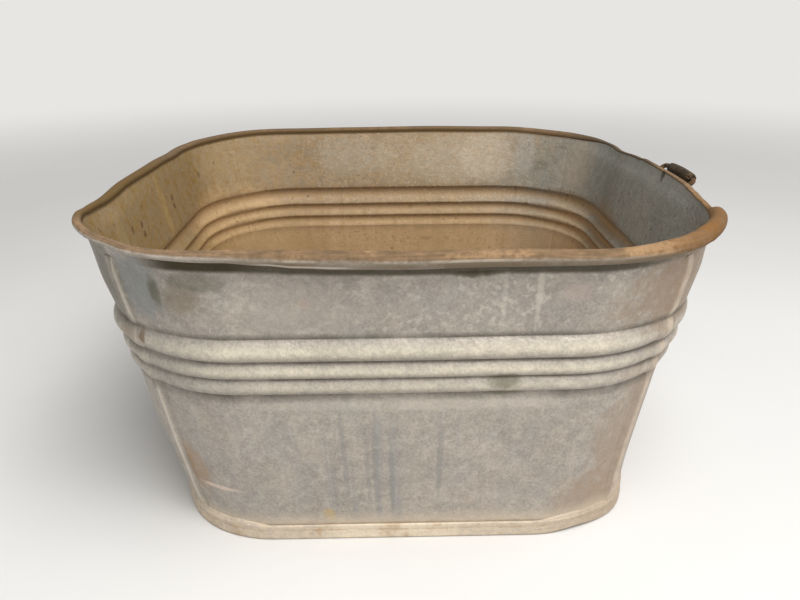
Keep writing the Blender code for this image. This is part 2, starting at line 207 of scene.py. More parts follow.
# Both front corners were knocked out of shape: the place, the width, and the distance outward by height
CORNER_KNOCKS = (
    (-0.28, 0.055, ((0.000, -0.0055), (0.020, -0.0048), (0.055, -0.0005), (0.100, 0.0040), (0.160, 0.0030),
                    (0.215, 0.0035), (0.245, 0.0058), (CRUSH_START, 0.0050), (CRUSH_END, 0.0000))),
    (0.28, 0.055, ((0.160, 0.0000), (0.185, 0.0034), (0.204, 0.0030), (0.218, 0.0058), (0.246, 0.0066),
                   (0.262, 0.0050), (CRUSH_END, 0.0000))),
    (0.232, 0.032, ((0.000, 0.0040), (0.020, 0.0038), (0.060, 0.0008), (0.090, 0.0000))),
)


def bumps(place, shapes):
    """Sum of smooth bumps round the tub."""
    total = 0
    for middle, width, amount in shapes:
        gap = (place - middle + ROUND / 2) % ROUND - ROUND / 2
        total += amount * math.exp(-(gap / width) ** 2)
    return total


def handle_clear(place):
    """1 away from the handles, falling to 0 where their ears are riveted on."""
    gap = abs((place - SIDE) % (2 * SIDE))
    return smooth_step(0.085, 0.14, min(gap, 2 * SIDE - gap))


def eased(knots, value):
    """Values between knots, eased from each knot to the next."""
    for (start, *low), (end, *high) in zip(knots, knots[1:]):
        if value <= end:
            share = smooth_step(start, end, value)
            return [a + (b - a) * share for a, b in zip(low, high)]
    return knots[-1][1:]


def round_tub(knots, place):
    """Values at a place round the tub, from knots that close on themselves."""
    first = knots[0]
    return eased(knots + ((first[0] + ROUND, *first[1:]),), (place - first[0]) % ROUND + first[0])


def crushed(place, half, height):
    """Where a point of the round roll went when the rim was bent and squeezed."""
    rise, tall = round_tub(RIM_BENDS, place)
    outer_in, inner_out, slope = round_tub(RIM_CRUSHES, place)
    share = (half - ROLL_CENTRE.x + ROLL_RADIUS) / (2 * ROLL_RADIUS)
    middle = (inner_out - outer_in) / 2
    out = inner_out - ROLL_RADIUS + share * (2 * ROLL_RADIUS - inner_out - outer_in)
    up = (height - ROLL_CENTRE.y) * tall - slope * (out - middle)
    return ROLL_CENTRE.x + out + rise * RISE_LEAN, ROLL_CENTRE.y + up + rise


def corner_knock(place, height):
    total = 0
    for middle, width, by_height in CORNER_KNOCKS:
        gap = (place - middle + ROUND / 2) % ROUND - ROUND / 2
        total += eased(by_height, height)[0] * math.exp(-(gap / width) ** 2)
    return total * handle_clear(place)


def seam_fullness(height):
    """1 along a lock seam, less over the beads and least at its ends, pressed flat for the rim and the foot."""
    low_bead, high_bead = CREASE_HEIGHTS[0], CREASE_HEIGHTS[-1]
    top = smooth_step(SEAM_TOP, SEAM_TOP - SEAM_TAPER, height)
    foot = smooth_step(FOOT_SEAM_TOP, FOOT_SEAM_TOP + SEAM_TAPER, height)
    swaged = smooth_step(low_bead - SEAM_TAPER, low_bead, height)
    swaged *= smooth_step(high_bead + SEAM_TAPER, high_bead, height)
    return max(SEAM_PRESSED, min(top, foot, 1 - (1 - SEAM_OVER_BEADS) * swaged))


def wall_bow(place, height):
    """How far the sheet bulges outward: nothing at the foot and the ears, little along the rim."""
    turn = place / ROUND * 2 * math.pi
    spot = Vector((math.cos(turn), math.sin(turn), height * 2)) * (ROUND / (2 * math.pi) / WAVE_LENGTH)
    share = handle_clear(place) * smooth_step(FOOT_SEAM_TOP, CREASE_HEIGHTS[0], height)
    rim = smooth_step(CREASE_HEIGHTS[-1], ROLL_CENTRE.y - 2 * ROLL_RADIUS, height)
    share *= 1 + (RIM_BOW_SHARE - 1) * rim
    return share * (noise.noise(spot) * WAVE_DEPTH + bumps(place, WALL_BOWS))


def wall_point(quarter, index, across, shift=0, lift=0):
    """Point of one sheet: a row of its section, a distance across it, and a shift and lift in the seam."""
    row = SHARP_ROWS[index]
    near_seam = smooth_step(HALF_SIDE - 0.045, HALF_SIDE - 0.012, abs(across))
    other = SEAM_ROWS[index]
    half, height, out_half, out_height = [a + (b - a) * near_seam for a, b in zip(row[:4], other[:4])]
    lift *= seam_fullness(row.height)
    half += lift * out_half
    height += lift * out_height

    place = quarter * SIDE + across + shift
    if row.roll:
        half, height = crushed(place, half, height)
    else:
        rise = round_tub(RIM_BENDS, place)[0]
        rise *= smooth_step(CREASE_HEIGHTS[-1], ROLL_CENTRE.y - ROLL_RADIUS, row.height)
        inner_out = round_tub(RIM_CRUSHES, place)[1]
        height += rise
        half += rise * RISE_LEAN + inner_out * smooth_step(CRUSH_START, CRUSH_END, row.height)
    half += wall_bow(place, row.height) + corner_knock(place, row.height)

    side = math.copysign(1, across)
    spread_share = even_step(FOOT_SEAM_TOP, CREASE_HEIGHTS[0], row.height)
    spread = FOOT_SPREAD + (CORNER_SPREAD - FOOT_SPREAD) * spread_share
    turn = max(abs(across) - CORNER_SPREAD, 0) / CORNER_LENGTH
    straight = side * min(abs(across) / CORNER_SPREAD, 1) * spread
    point = Vector((straight + side * (half - spread) * math.sin(turn),
                    -spread - (half - spread) * math.cos(turn), height))
    point += shift * Vector((1, side, 0)).normalized()
    return Matrix.Rotation(quarter * math.pi / 2, 3, "Z") @ point


def fold(middle, height, start, end):
    """Path round one fold of the lock seam, as shift and lift."""
    turns = [math.radians(a) for a in spaced(start, end, FOLD_STEPS)]
    return [(middle + LAYER * math.cos(a), height + LAYER * math.sin(a)) for a in turns]


def wall_columns():
    """Columns of the sheet between its two seams, as across, shift and lift."""
    corner = [CORNER_SPREAD + CORNER_LENGTH * a for a in spaced(0, CORNER_END, CORNER_COLUMNS)][1:]
    flat = spaced(-CORNER_SPREAD, CORNER_SPREAD, FLAT_COLUMNS)
    middle = [(s, 0, 0) for s in [-c for c in reversed(corner)] + flat + corner]
    return [(-HALF_SIDE, SEAM_FLAT, 0)] + middle + [(HALF_SIDE, -SEAM_FLAT, 0)]


def wall_mesh(name, quarter):
    """One wall sheet: its inner hook is at its left corner, its outer hook at its right corner."""
    bm = bmesh.new()
    place_layer = bm.verts.layers.float_vector.new("place")
    relief_layer = bm.verts.layers.float_vector.new("relief")
    made = {}

    def vertex(index, column):
        if (index, column) not in made:
            row = SHARP_ROWS[index]
            vert = bm.verts.new(wall_point(quarter, index, *column))
            vert[place_layer] = (quarter * SIDE + column[0] + column[1], row.height, column[0])
            vert[relief_layer] = (row.crest, row.crease, row.roll)
            made[index, column] = vert
        return made[index, column]

    def patch(columns, indexes):
        for low, high in zip(indexes, indexes[1:]):
            for left, right in zip(columns, columns[1:]):
                face = bm.faces.new((vertex(low, left), vertex(low, right), vertex(high, right), vertex(high, left)))
                face.smooth = True
                face.material_index = 2 if SHARP_ROWS[low].roll else 0

    every = list(range(len(SHARP_ROWS)))
    seamed = [i for i in every if FOOT_SEAM_TOP < SHARP_ROWS[i].height < SEAM_TOP and not SHARP_ROWS[i].roll]
    butted = every[:seamed[0] + 1], every[seamed[-1]:]
    columns = wall_columns()
    inner = fold(-SEAM_HALF, LAYER, -90, -270) + [(SEAM_HALF - SEAM_TUCK, 2 * LAYER)]
    outer = [(run, 3 * LAYER * smooth_step(-SEAM_FLAT, -SEAM_STEP, run))
             for run in spaced(-SEAM_FLAT, -SEAM_STEP, FOLD_STEPS)[1:]]
    outer += fold(SEAM_HALF, 2 * LAYER, 90, -90) + [(SEAM_TUCK - SEAM_HALF, LAYER)]
    patch(columns, every)
    patch([(-HALF_SIDE, *spot) for spot in reversed(inner)] + columns[:1], seamed)
    patch(columns[-1:] + [(HALF_SIDE, *spot) for spot in outer], seamed)
    patch([(HALF_SIDE, *spot) for spot in SOLDER_OUTSIDE], seamed)
    patch([(HALF_SIDE, *spot) for spot in SOLDER_INSIDE], seamed)
    for rows in butted:
        patch([(-HALF_SIDE, BUTT_HALF, 0)] + columns[:1], rows)
        patch(columns[-1:] + [(HALF_SIDE, -BUTT_HALF, 0)], rows)
    mesh = bpy.data.meshes.new(name)
    bm.to_mesh(mesh)
    bm.free()
    return mesh


def add_piece(name, mesh, finishes, body, slot, *nodes):
    """Put a piece in the scene with its finishes, in place of its CAD nodes."""
    piece = bpy.data.objects.new(name, mesh)
    bpy.context.scene.collection.objects.link(piece)
    for finish in finishes:
        mesh.materials.append(finish)
    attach(piece, body)
    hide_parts(*nodes)
    return piece


def add_thickness(piece, far_side):
    """Sheet thickness to both sides; the far side takes the finish so many places on."""
    sheet = piece.modifiers.new("sheet", "SOLIDIFY")
    sheet.thickness = SHEET
    sheet.offset = 0
    sheet.material_offset = far_side


def even_shading(piece):
    """Shade by the large faces, so that the cut edges of a sheet leave no line on it."""
    piece.modifiers.new("shading", "WEIGHTED_NORMAL")


# Wall sheets: the finish. Old hot-dip zinc, dulled and mottled, with worn crests made paler still by a painted
# highlight on their upper faces, dirt and painted shade in the creases, pale water runs and rust film. A painted
# shadow lies under the rolled rim outside, and painted shade under it inside. The inside is browner; the rolled
# rim is rusted along its top.
ZINC_DARK = (0.265, 0.240, 0.212)
ZINC_LIGHT = (0.52, 0.462, 0.398)
# Pale zinc bloom; the same colour paints highlights along the seam folds, the rim's outer edge and under the lowest
# bead.
ZINC_BLOOM_AND_HIGHLIGHT = (0.66, 0.605, 0.52)
ZINC_BLUE = (0.29, 0.293, 0.287)
ZINC_WARM = (0.47, 0.385, 0.305)
RUN_GREY = (0.235, 0.236, 0.230)
CREST_PALE = (0.86, 0.785, 0.615)
CORNER_TAN = (0.35, 0.258, 0.180)
SEAM_PALE = (0.56, 0.46, 0.36)
# Near-black brown: dirt, and the colour of painted shade in the creases, in a rim notch and under the roll.
GRIME_AND_SHADE = (0.045, 0.036, 0.021)
UNDER_RIM_SHADOW = (0.042, 0.031, 0.011)
MOSS = (0.105, 0.100, 0.062)
SMUDGE = (0.150, 0.138, 0.085)
FOOT_CREAM = (0.63, 0.525, 0.395)
RUST_TAN = (0.40, 0.255, 0.135)
RUST_BROWN = (0.13, 0.070, 0.026)
RUST_ORANGE = (0.185, 0.082, 0.018)
RIM_BROWN = (0.27, 0.165, 0.088)
RIM_DARK = (0.125, 0.080, 0.042)
RIM_OCHRE = (0.115, 0.067, 0.017)
RIM_UMBER = (0.072, 0.052, 0.031)
INNER_DARK = (0.085, 0.050, 0.017)
LIP_BROWN = (0.185, 0.140, 0.092)
FILM_TAN = (0.42, 0.285, 0.155)
FILM_OCHRE = (0.28, 0.168, 0.052)
FILM_MUSTARD = (0.240, 0.145, 0.036)
INSIDE_GREY = (0.206, 0.226, 0.212)
INSIDE_PALE = (0.40, 0.375, 0.325)
INSIDE_BLOOM = (0.60, 0.53, 0.42)
INSIDE_DULL = (0.105, 0.105, 0.092)
FILM_DULL = (0.155, 0.092, 0.034)
CREST_TAN = (0.50, 0.335, 0.180)
# Stains of the outside, and one painted highlight under the lowest bead: place round the tub, height, half
# width, half height, colour, strength
OUTSIDE_STAINS = (
    (-0.206, 0.256, 0.024, 0.030, (0.225, 0.248, 0.246), 0.65), (-0.187, 0.252, 0.005, 0.011, MOSS, 0.75),
    (-0.165, 0.247, 0.017, 0.013, (0.19, 0.150, 0.090), 0.55), (-0.2145, 0.2085, 0.0034, 0.0070, (0.19, 0.12, 0.065), 0.80),
    (1.525, 0.245, 0.070, 0.060, (0.175, 0.165, 0.130), 0.45), (-0.150, 0.262, 0.020, 0.008, MOSS, 0.50),
    (1.562, 0.247, 0.020, 0.060, (0.150, 0.142, 0.108), 0.60), (1.563, 0.205, 0.018, 0.012, (0.42, 0.33, 0.24), 0.45),
    (0.0755, 0.245, 0.0022, 0.034, ZINC_BLOOM_AND_HIGHLIGHT, 0.25), (0.1015, 0.252, 0.0026, 0.034, ZINC_BLOOM_AND_HIGHLIGHT, 0.45),
    (0.081, 0.1735, 0.015, 0.0075, SMUDGE, 0.70), (0.080, 0.1611, 0.017, 0.0030, SMUDGE, 0.60),
    (-0.085, 0.240, 0.050, 0.022, (0.45, 0.40, 0.345), 0.40),
    (0.052, 0.2712, 0.018, 0.0032, (0.080, 0.064, 0.032), 0.90),
    (-0.0660, 0.070, 0.0025, 0.045, RUN_GREY, 0.35), (-0.0545, 0.085, 0.0028, 0.050, RUN_GREY, 0.50),
    (-0.0340, 0.080, 0.0025, 0.050, RUN_GREY, 0.40), (-0.0265, 0.075, 0.0032, 0.060, RUN_GREY, 0.55),
    (-0.0120, 0.070, 0.0025, 0.050, RUN_GREY, 0.45), (0.0325, 0.085, 0.0030, 0.045, RUN_GREY, 0.50),
    (-0.0755, 0.027, 0.007, 0.007, (0.50, 0.34, 0.13), 0.60),
    (0.192, 0.030, 0.045, 0.040, CORNER_TAN, 0.60), (0.222, 0.100, 0.050, 0.090, CORNER_TAN, 0.65),
    (0.226, 0.246, 0.060, 0.050, (0.29, 0.205, 0.135), 0.80),
    (-0.214, 0.066, 0.024, 0.034, (0.38, 0.255, 0.160), 0.80),
    (-0.186, 0.054, 0.026, 0.0026, (0.66, 0.54, 0.45), 0.90), (-0.0755, 0.247, 0.005, 0.005, (0.45, 0.32, 0.26), 0.40),
    # The pale band at height 0.150, just under the lowest bead, is a painted highlight.
    (0.130, 0.255, 0.012, 0.010, (0.53, 0.43, 0.38), 0.45), (0.010, 0.150, 0.150, 0.006, ZINC_BLOOM_AND_HIGHLIGHT, 0.30),
)
# Dark spots and marks of the inside, and painted shade in a notch of the rim, in the same way
INSIDE_STAINS = (
    (1.433, 0.252, 0.003, 0.004, RUST_BROWN, 0.80), (1.189, 0.253, 0.003, 0.004, RUST_BROWN, 0.80),
    (0.882, 0.186, 0.004, 0.003, RUST_BROWN, 0.75), (0.860, 0.142, 0.009, 0.003, RUST_BROWN, 0.60),
    (1.119, 0.185, 0.003, 0.004, RUST_BROWN, 0.60), (0.702, 0.246, 0.012, 0.008, (0.16, 0.15, 0.12), 0.45),
    # The dark spot at 0.413 near the top is painted shade in a notch of the rim, which the sheet's shape does not
    # have.
    (0.733, 0.207, 0.002, 0.008, RUST_BROWN, 0.50), (0.413, 0.2830, 0.0050, 0.0055, GRIME_AND_SHADE, 1.0),
    (0.830, 0.250, 0.050, 0.030, (0.52, 0.45, 0.35), 0.46), (0.960, 0.256, 0.050, 0.024, (0.46, 0.41, 0.33), 0.40),
    (0.895, 0.252, 0.040, 0.028, (0.48, 0.39, 0.28), 0.35),
    (0.722, 0.262, 0.014, 0.024, (0.42, 0.40, 0.36), 0.55), (0.550, 0.252, 0.036, 0.042, (0.12, 0.12, 0.10), 0.35),
    (1.330, 0.235, 0.012, 0.040, (0.40, 0.27, 0.09), 0.50), (1.460, 0.240, 0.010, 0.040, (0.34, 0.27, 0.14), 0.50),
    (1.165, 0.188, 0.090, 0.040, (0.58, 0.39, 0.205), 0.65), (0.640, 0.180, 0.050, 0.040, (0.50, 0.360, 0.21), 0.70),
    (0.645, 0.252, 0.030, 0.045, (0.42, 0.36, 0.285), 0.70), (0.772, 0.254, 0.036, 0.030, (0.58, 0.50, 0.39), 0.50),
    (1.140, 0.255, 0.045, 0.036, (0.50, 0.37, 0.21), 0.35), (0.535, 0.190, 0.065, 0.042, (0.23, 0.165, 0.095), 0.85),
)


class Shade:
    """One socket of a finish's nodes. Arithmetic on it adds Math nodes."""

    def __init__(self, tree, socket=None):
        self.tree = tree
        self.socket = socket

    def node(self, kind, settings=None, sockets=None, outlet=0):
        """Any node: its type, its settings, which are set first, and the values or links of its sockets."""
        made = self.tree.nodes.new("ShaderNode" + kind)
        for name, value in (settings or {}).items():
            setattr(made, name, value)
        for name, value in (sockets or {}).items():
            inlet = made.inputs[name]
            if isinstance(value, Shade):
                self.tree.links.new(value.socket, inlet)
            else:
                inlet.default_value = value
        return Shade(self.tree, made.outputs[outlet])

    def maths(self, operation, first, second):
        return self.node("Math", {"operation": operation}, {0: first, 1: second})

    def __add__(self, other):
        return self.maths("ADD", self, other)

    def __sub__(self, other):
        return self.maths("SUBTRACT", self, other)

    def __rsub__(self, other):
        return self.maths("SUBTRACT", other, self)

    def __mul__(self, other):
        return self.maths("MULTIPLY", self, other)

    def __truediv__(self, other):
        return self.maths("DIVIDE", self, other)

    def __pow__(self, other):
        return self.maths("POWER", self, other)

    __radd__ = __add__
    __rmul__ = __mul__


def new_finish(name):
    """A new material and the start of its nodes."""
    material = bpy.data.materials.new(name)
    material.use_nodes = True
    return material, Shade(material.node_tree)


def complete(material, colour, roughness, metallic, relief=None, depth=0.0, gloss=0.5):
    """Feed the material's own shader, with an optional bump of a depth in metres."""
    tree = material.node_tree
    shader = tree.nodes["Principled BSDF"]
    for name, value in (("Base Color", colour), ("Roughness", roughness), ("Metallic", metallic)):
        if isinstance(value, Shade):
            tree.links.new(value.socket, shader.inputs[name])
        else:
            shader.inputs[name].default_value = value
    shader.inputs["Specular IOR Level"].default_value = gloss
    if relief:
        bump = relief.node("Bump", {}, {"Height": relief, "Distance": depth})
        tree.links.new(bump.socket, shader.inputs["Normal"])
    return material


def mix(factor, first, second):
    """Colour: first where the factor is 0, second where it is 1."""
    colours = [c if isinstance(c, Shade) else (*c, 1) for c in (first, second)]
    return factor.node("Mix", {"data_type": "RGBA"}, {0: factor, 6: colours[0], 7: colours[1]}, 2)


def ramp(value, low, high):
    """Smooth step from 0 at low to 1 at high."""
    return value.node("MapRange", {"interpolation_type": "SMOOTHSTEP"},
                      {"Value": value, "From Min": low, "From Max": high})


def grain(where, scale, detail=3, roughness=0.55):
    return where.node("TexNoise", {}, {"Vector": where, "Scale": scale, "Detail": detail, "Roughness": roughness})


def cells(where, scale, outlet):
    return where.node("TexVoronoi", {}, {"Vector": where, "Scale": scale}, outlet)


def stretched(where, *factors):
    return where.node("VectorMath", {"operation": "MULTIPLY"}, {0: where, 1: factors})


def parts_of(vector):
    made = vector.node("SeparateXYZ", {}, {"Vector": vector})
    return [Shade(vector.tree, outlet) for outlet in made.socket.node.outputs]


def attribute(start, name):
    return start.node("Attribute", {"attribute_name": name}, {}, "Vector")


def object_place(start):
    return start.node("TexCoord", {}, {}, "Object")


def stain(around, height, ragged, middle, rise, wide, tall):
    """Ragged patch on a sheet, by its place round the tub and up the wall and its half sizes."""
    sideways = (around - middle) / wide
    upward = (height - rise) / tall
    return 1 - ramp(sideways * sideways + upward * upward + ragged * 1.8, -0.1, 1.6)


def pepper(where, scale, reach):
    """Scattered dots: about one in three cells of a pattern has one."""
    dot = 1 - ramp(cells(where, scale, "Distance"), reach * 0.4, reach)
    return dot * ramp(parts_of(cells(where, scale, "Color"))[0], 0.62, 0.68)


def zinc_tone(where):
    """Mottle of weathered zinc from 0, dark, to 1, light, with the flakes of its spangle."""
    bent = where.node("Mix", {"data_type": "VECTOR"}, {0: 0.012, 4: where, 5: grain_vector(where, 60)}, 1)
    flake = parts_of(cells(bent, 150, "Color"))[0]
    cloud = ramp(grain(where, 11, 4, 0.6), 0.32, 0.68)
    mottle = ramp(grain(where, 80, 4, 0.6), 0.32, 0.68)
    speckle = ramp(grain(where, 420, 2), 0.3, 0.7)
    return cloud * 0.22 + mottle * 0.24 + flake * 0.20 + speckle * 0.34


def grain_vector(where, scale):
    return where.node("TexNoise", {}, {"Vector": where, "Scale": scale, "Detail": 2}, "Color")


def outside_zinc():
    material, start = new_finish("outside_zinc")
    where = object_place(start)
    place = attribute(start, "place")
    around, height, _ = parts_of(place)
    crest, crease, _ = parts_of(attribute(start, "relief"))
    tone = zinc_tone(where)
    patchy = grain(where, 18, 4, 0.65)
    fine = grain(where, 120, 4, 0.6)
    ragged = (fine - 0.5) * 1.1 + (patchy - 0.5) * 1.3
    seam_side = around.node("Math", {"operation": "WRAP"}, {0: around + HALF_SIDE, 1: HALF_SIDE, 2: -HALF_SIDE})
    from_seam = around.maths("PINGPONG", around + HALF_SIDE, HALF_SIDE)

    colour = mix(tone, ZINC_DARK, ZINC_LIGHT)
    colour = mix(ramp(grain(where, 34, 4), 0.50, 0.66) * 0.20, colour, ZINC_BLUE)
    colour = mix(ramp(grain(stretched(where, 1, 1, 1.4), 25, 4), 0.50, 0.66) * 0.16, colour, ZINC_WARM)
    upper = ramp(height, 0.212, 0.224)
    blotched = 1 - ramp(grain(where, 95, 5, 0.7), 0.38, 0.62)
    colour = mix(blotched * (0.10 + upper * 0.18), colour, ZINC_DARK)
    flecks = ramp(grain(where, 180, 2, 0.5), 0.52, 0.66) * ramp(grain(where, 26, 3), 0.42, 0.54)
    colour = mix(flecks * (0.12 + upper * (0.10 + ramp(around, -0.04, 0.06) * 0.20)), colour, ZINC_BLOOM_AND_HIGHLIGHT)
    bloom = ramp(fine, 0.50, 0.74) * ramp(patchy, 0.42, 0.66)
    colour = mix(bloom * 0.35, colour, ZINC_BLOOM_AND_HIGHLIGHT)
    runs = ramp(grain(stretched(place, 1, 0.05, 1), 75, 4, 0.6), 0.50, 0.66)
    streaked = 0.24 + ramp(around, -0.11, -0.07) * (1 - ramp(around, 0.03, 0.08)) * 0.24
    colour = mix(runs * (1 - ramp(height, 0.12, 0.158)) * streaked, colour, ZINC_BLUE)
    # Pale crests: worn zinc, and a painted highlight on the upper faces of the beads; weaker near the seams, on the
    # lower beads and on the left.
    crest_wear_and_highlight = crest ** 0.9 * (0.50 + ramp(fine, 0.35, 0.65) * 0.22 + ramp(tone, 0.3, 0.7) * 0.22)
    crest_wear_and_highlight = crest_wear_and_highlight * (0.40 + ramp(from_seam, 0.015, 0.085) * 0.60)
    dulled = (1 - ramp(height, 0.190, 0.198)) * (0.10 + (1 - ramp(around, -0.19, -0.06)) * 0.30)
    dulled = dulled + (1 - ramp(height, 0.174, 0.180)) * 0.40
    crest_wear_and_highlight = crest_wear_and_highlight * (1 - dulled)
    colour = mix(crest_wear_and_highlight, colour, CREST_PALE)
    for middle, rise, wide, tall, tint, strength in OUTSIDE_STAINS:
        colour = mix(stain(around, height, ragged, middle, rise, wide, tall) * strength, colour, tint)
    band = (1 - ramp(from_seam, 0.0030, 0.0065)) * (0.50 + ramp(fine, 0.4, 0.6) * 0.40)
    right_seam = ramp(around, 0, 0.1) * (1 - ramp(around, 0.5, 0.6))
    colour = mix(band * (0.15 + right_seam * 0.85), colour, SEAM_PALE)
    # Painted highlight: a thin pale line along the edge of each seam's fold, stronger off the beads.
    edge_gap = seam_side - SEAM_EDGE
    plain_wall = 1 - ramp(height, 0.150, 0.160) * (1 - ramp(height, 0.216, 0.226))
    edge = (1 - ramp(edge_gap * edge_gap, 1e-7, 1.0e-6)) * (0.10 + plain_wall * 0.40)
    colour = mix(edge, colour, ZINC_BLOOM_AND_HIGHLIGHT)
    # Darker along the creases: dirt, and painted shade where the light does not reach into them.
    dirt = crease * (0.30 + ramp(patchy, 0.35, 0.6) * 0.40)
    colour = mix(dirt, colour, GRIME_AND_SHADE)
    # Painted shadow: a dark band on the wall just under the overhanging rim, weaker towards the front corners.
    open_ends = ramp(around, -0.205, -0.165) * (1 - ramp(around, 0.16, 0.21) * (1 - ramp(around, 0.24, 0.30)) * 0.6)
    gap = ramp(height + ragged * 0.0010, 0.2692, 0.2732) * open_ends * (1 - ramp(around, 1.46, 1.53))
    colour = mix(gap * (0.84 + (1 - ramp(around, -0.13, -0.10)) * 0.13), colour, UNDER_RIM_SHADOW)
    film = (1 - ramp(height + ragged * 0.008, 0.010, 0.034)) * 0.75
    colour = mix(film, colour, FOOT_CREAM)
    complete(material, colour, 0.60 - tone * 0.14 + dirt * 0.2 + gap * 0.3,
             0.35 * (1 - film) * (1 - dirt) * (1 - gap), tone + fine * 0.5, 0.0005, 0.35)
    return material


def inside_film():
    material, start = new_finish("inside_film")
    where = object_place(start)
    place = attribute(start, "place")
    around, height, _ = parts_of(place)
    crest, crease, _ = parts_of(attribute(start, "relief"))
    tone = zinc_tone(where)
    patchy = grain(where, 14, 5, 0.65)
    fine = grain(where, 110, 4, 0.65)
    runs = grain(stretched(place, 1, 0.10, 1), 60, 4, 0.6)
    ragged = (fine - 0.5) * 0.8 + (patchy - 0.5) * 1.2

    colour = mix(tone * 0.8, INSIDE_GREY, INSIDE_PALE)
    browned = ramp(around + ragged * 0.10, 0.60, 0.84) + (1 - ramp(around, 0.12, 0.30))
    left = ramp(around + ragged * 0.04, 1.00, 1.22)
    film = mix(ramp(patchy * 0.6 + fine * 0.4 + runs * 0.4, 0.50, 0.90), FILM_OCHRE, FILM_TAN)
    film = mix(left * (0.70 + ramp(runs + fine * 0.5, 0.65, 0.95) * 0.30), film, FILM_MUSTARD)
    colour = mix(browned * (0.62 + ramp(fine, 0.4, 0.7) * 0.25 + left * 0.13), colour, film)
    low = 1 - ramp(height + ragged * 0.01, 0.155, 0.205)
    colour = mix(low * (0.55 + ramp(patchy, 0.4, 0.6) * 0.25), colour, film)
    for middle, rise, wide, tall, tint, strength in INSIDE_STAINS:
        colour = mix(stain(around, height, ragged, middle, rise, wide, tall) * strength, colour, tint)
    colour = mix(crease * (0.10 + ramp(patchy, 0.35, 0.6) * 0.30), colour, RUST_BROWN)
    blotched = 1 - ramp(grain(where, 130, 5, 0.7), 0.38, 0.62)
    colour = mix(blotched * 0.17, colour, mix(browned, INSIDE_DULL, FILM_DULL))
    colour = mix(crest * 0.65 + (1 - ramp(height, 0.150, 0.165)) * 0.35, colour, CREST_TAN)
    flecks = ramp(grain(where, 240, 2), 0.60, 0.68) * ramp(patchy, 0.42, 0.6)
    colour = mix(flecks * 0.45, colour, RUST_BROWN)
    back = ramp(around, 0.66, 0.72) * (1 - ramp(around, 1.00, 1.08)) * (1 - low)
    pale_flecks = ramp(grain(where, 260, 3, 0.6), 0.54, 0.68) * (1 - ramp(patchy, 0.42, 0.6))
    colour = mix(pale_flecks * back * 0.26, colour, INSIDE_BLOOM)
    colour = mix(pepper(where, 42, 0.10) * 0.7, colour, RUST_BROWN)
    colour = mix(pepper(where, 75, 0.12) * ramp(patchy, 0.40, 0.56) * 0.5, colour, RUST_BROWN)
    # Painted shade with some dirt: a thin dark line at the top of the inner wall, just under the roll.
    colour = mix(ramp(height + ragged * 0.001, 0.2818, 0.2838) * browned * 0.85, colour, INNER_DARK)
    complete(material, colour, 0.68 - tone * 0.12, 0.15, tone + fine * 0.7, 0.0004, 0.25)
    return material


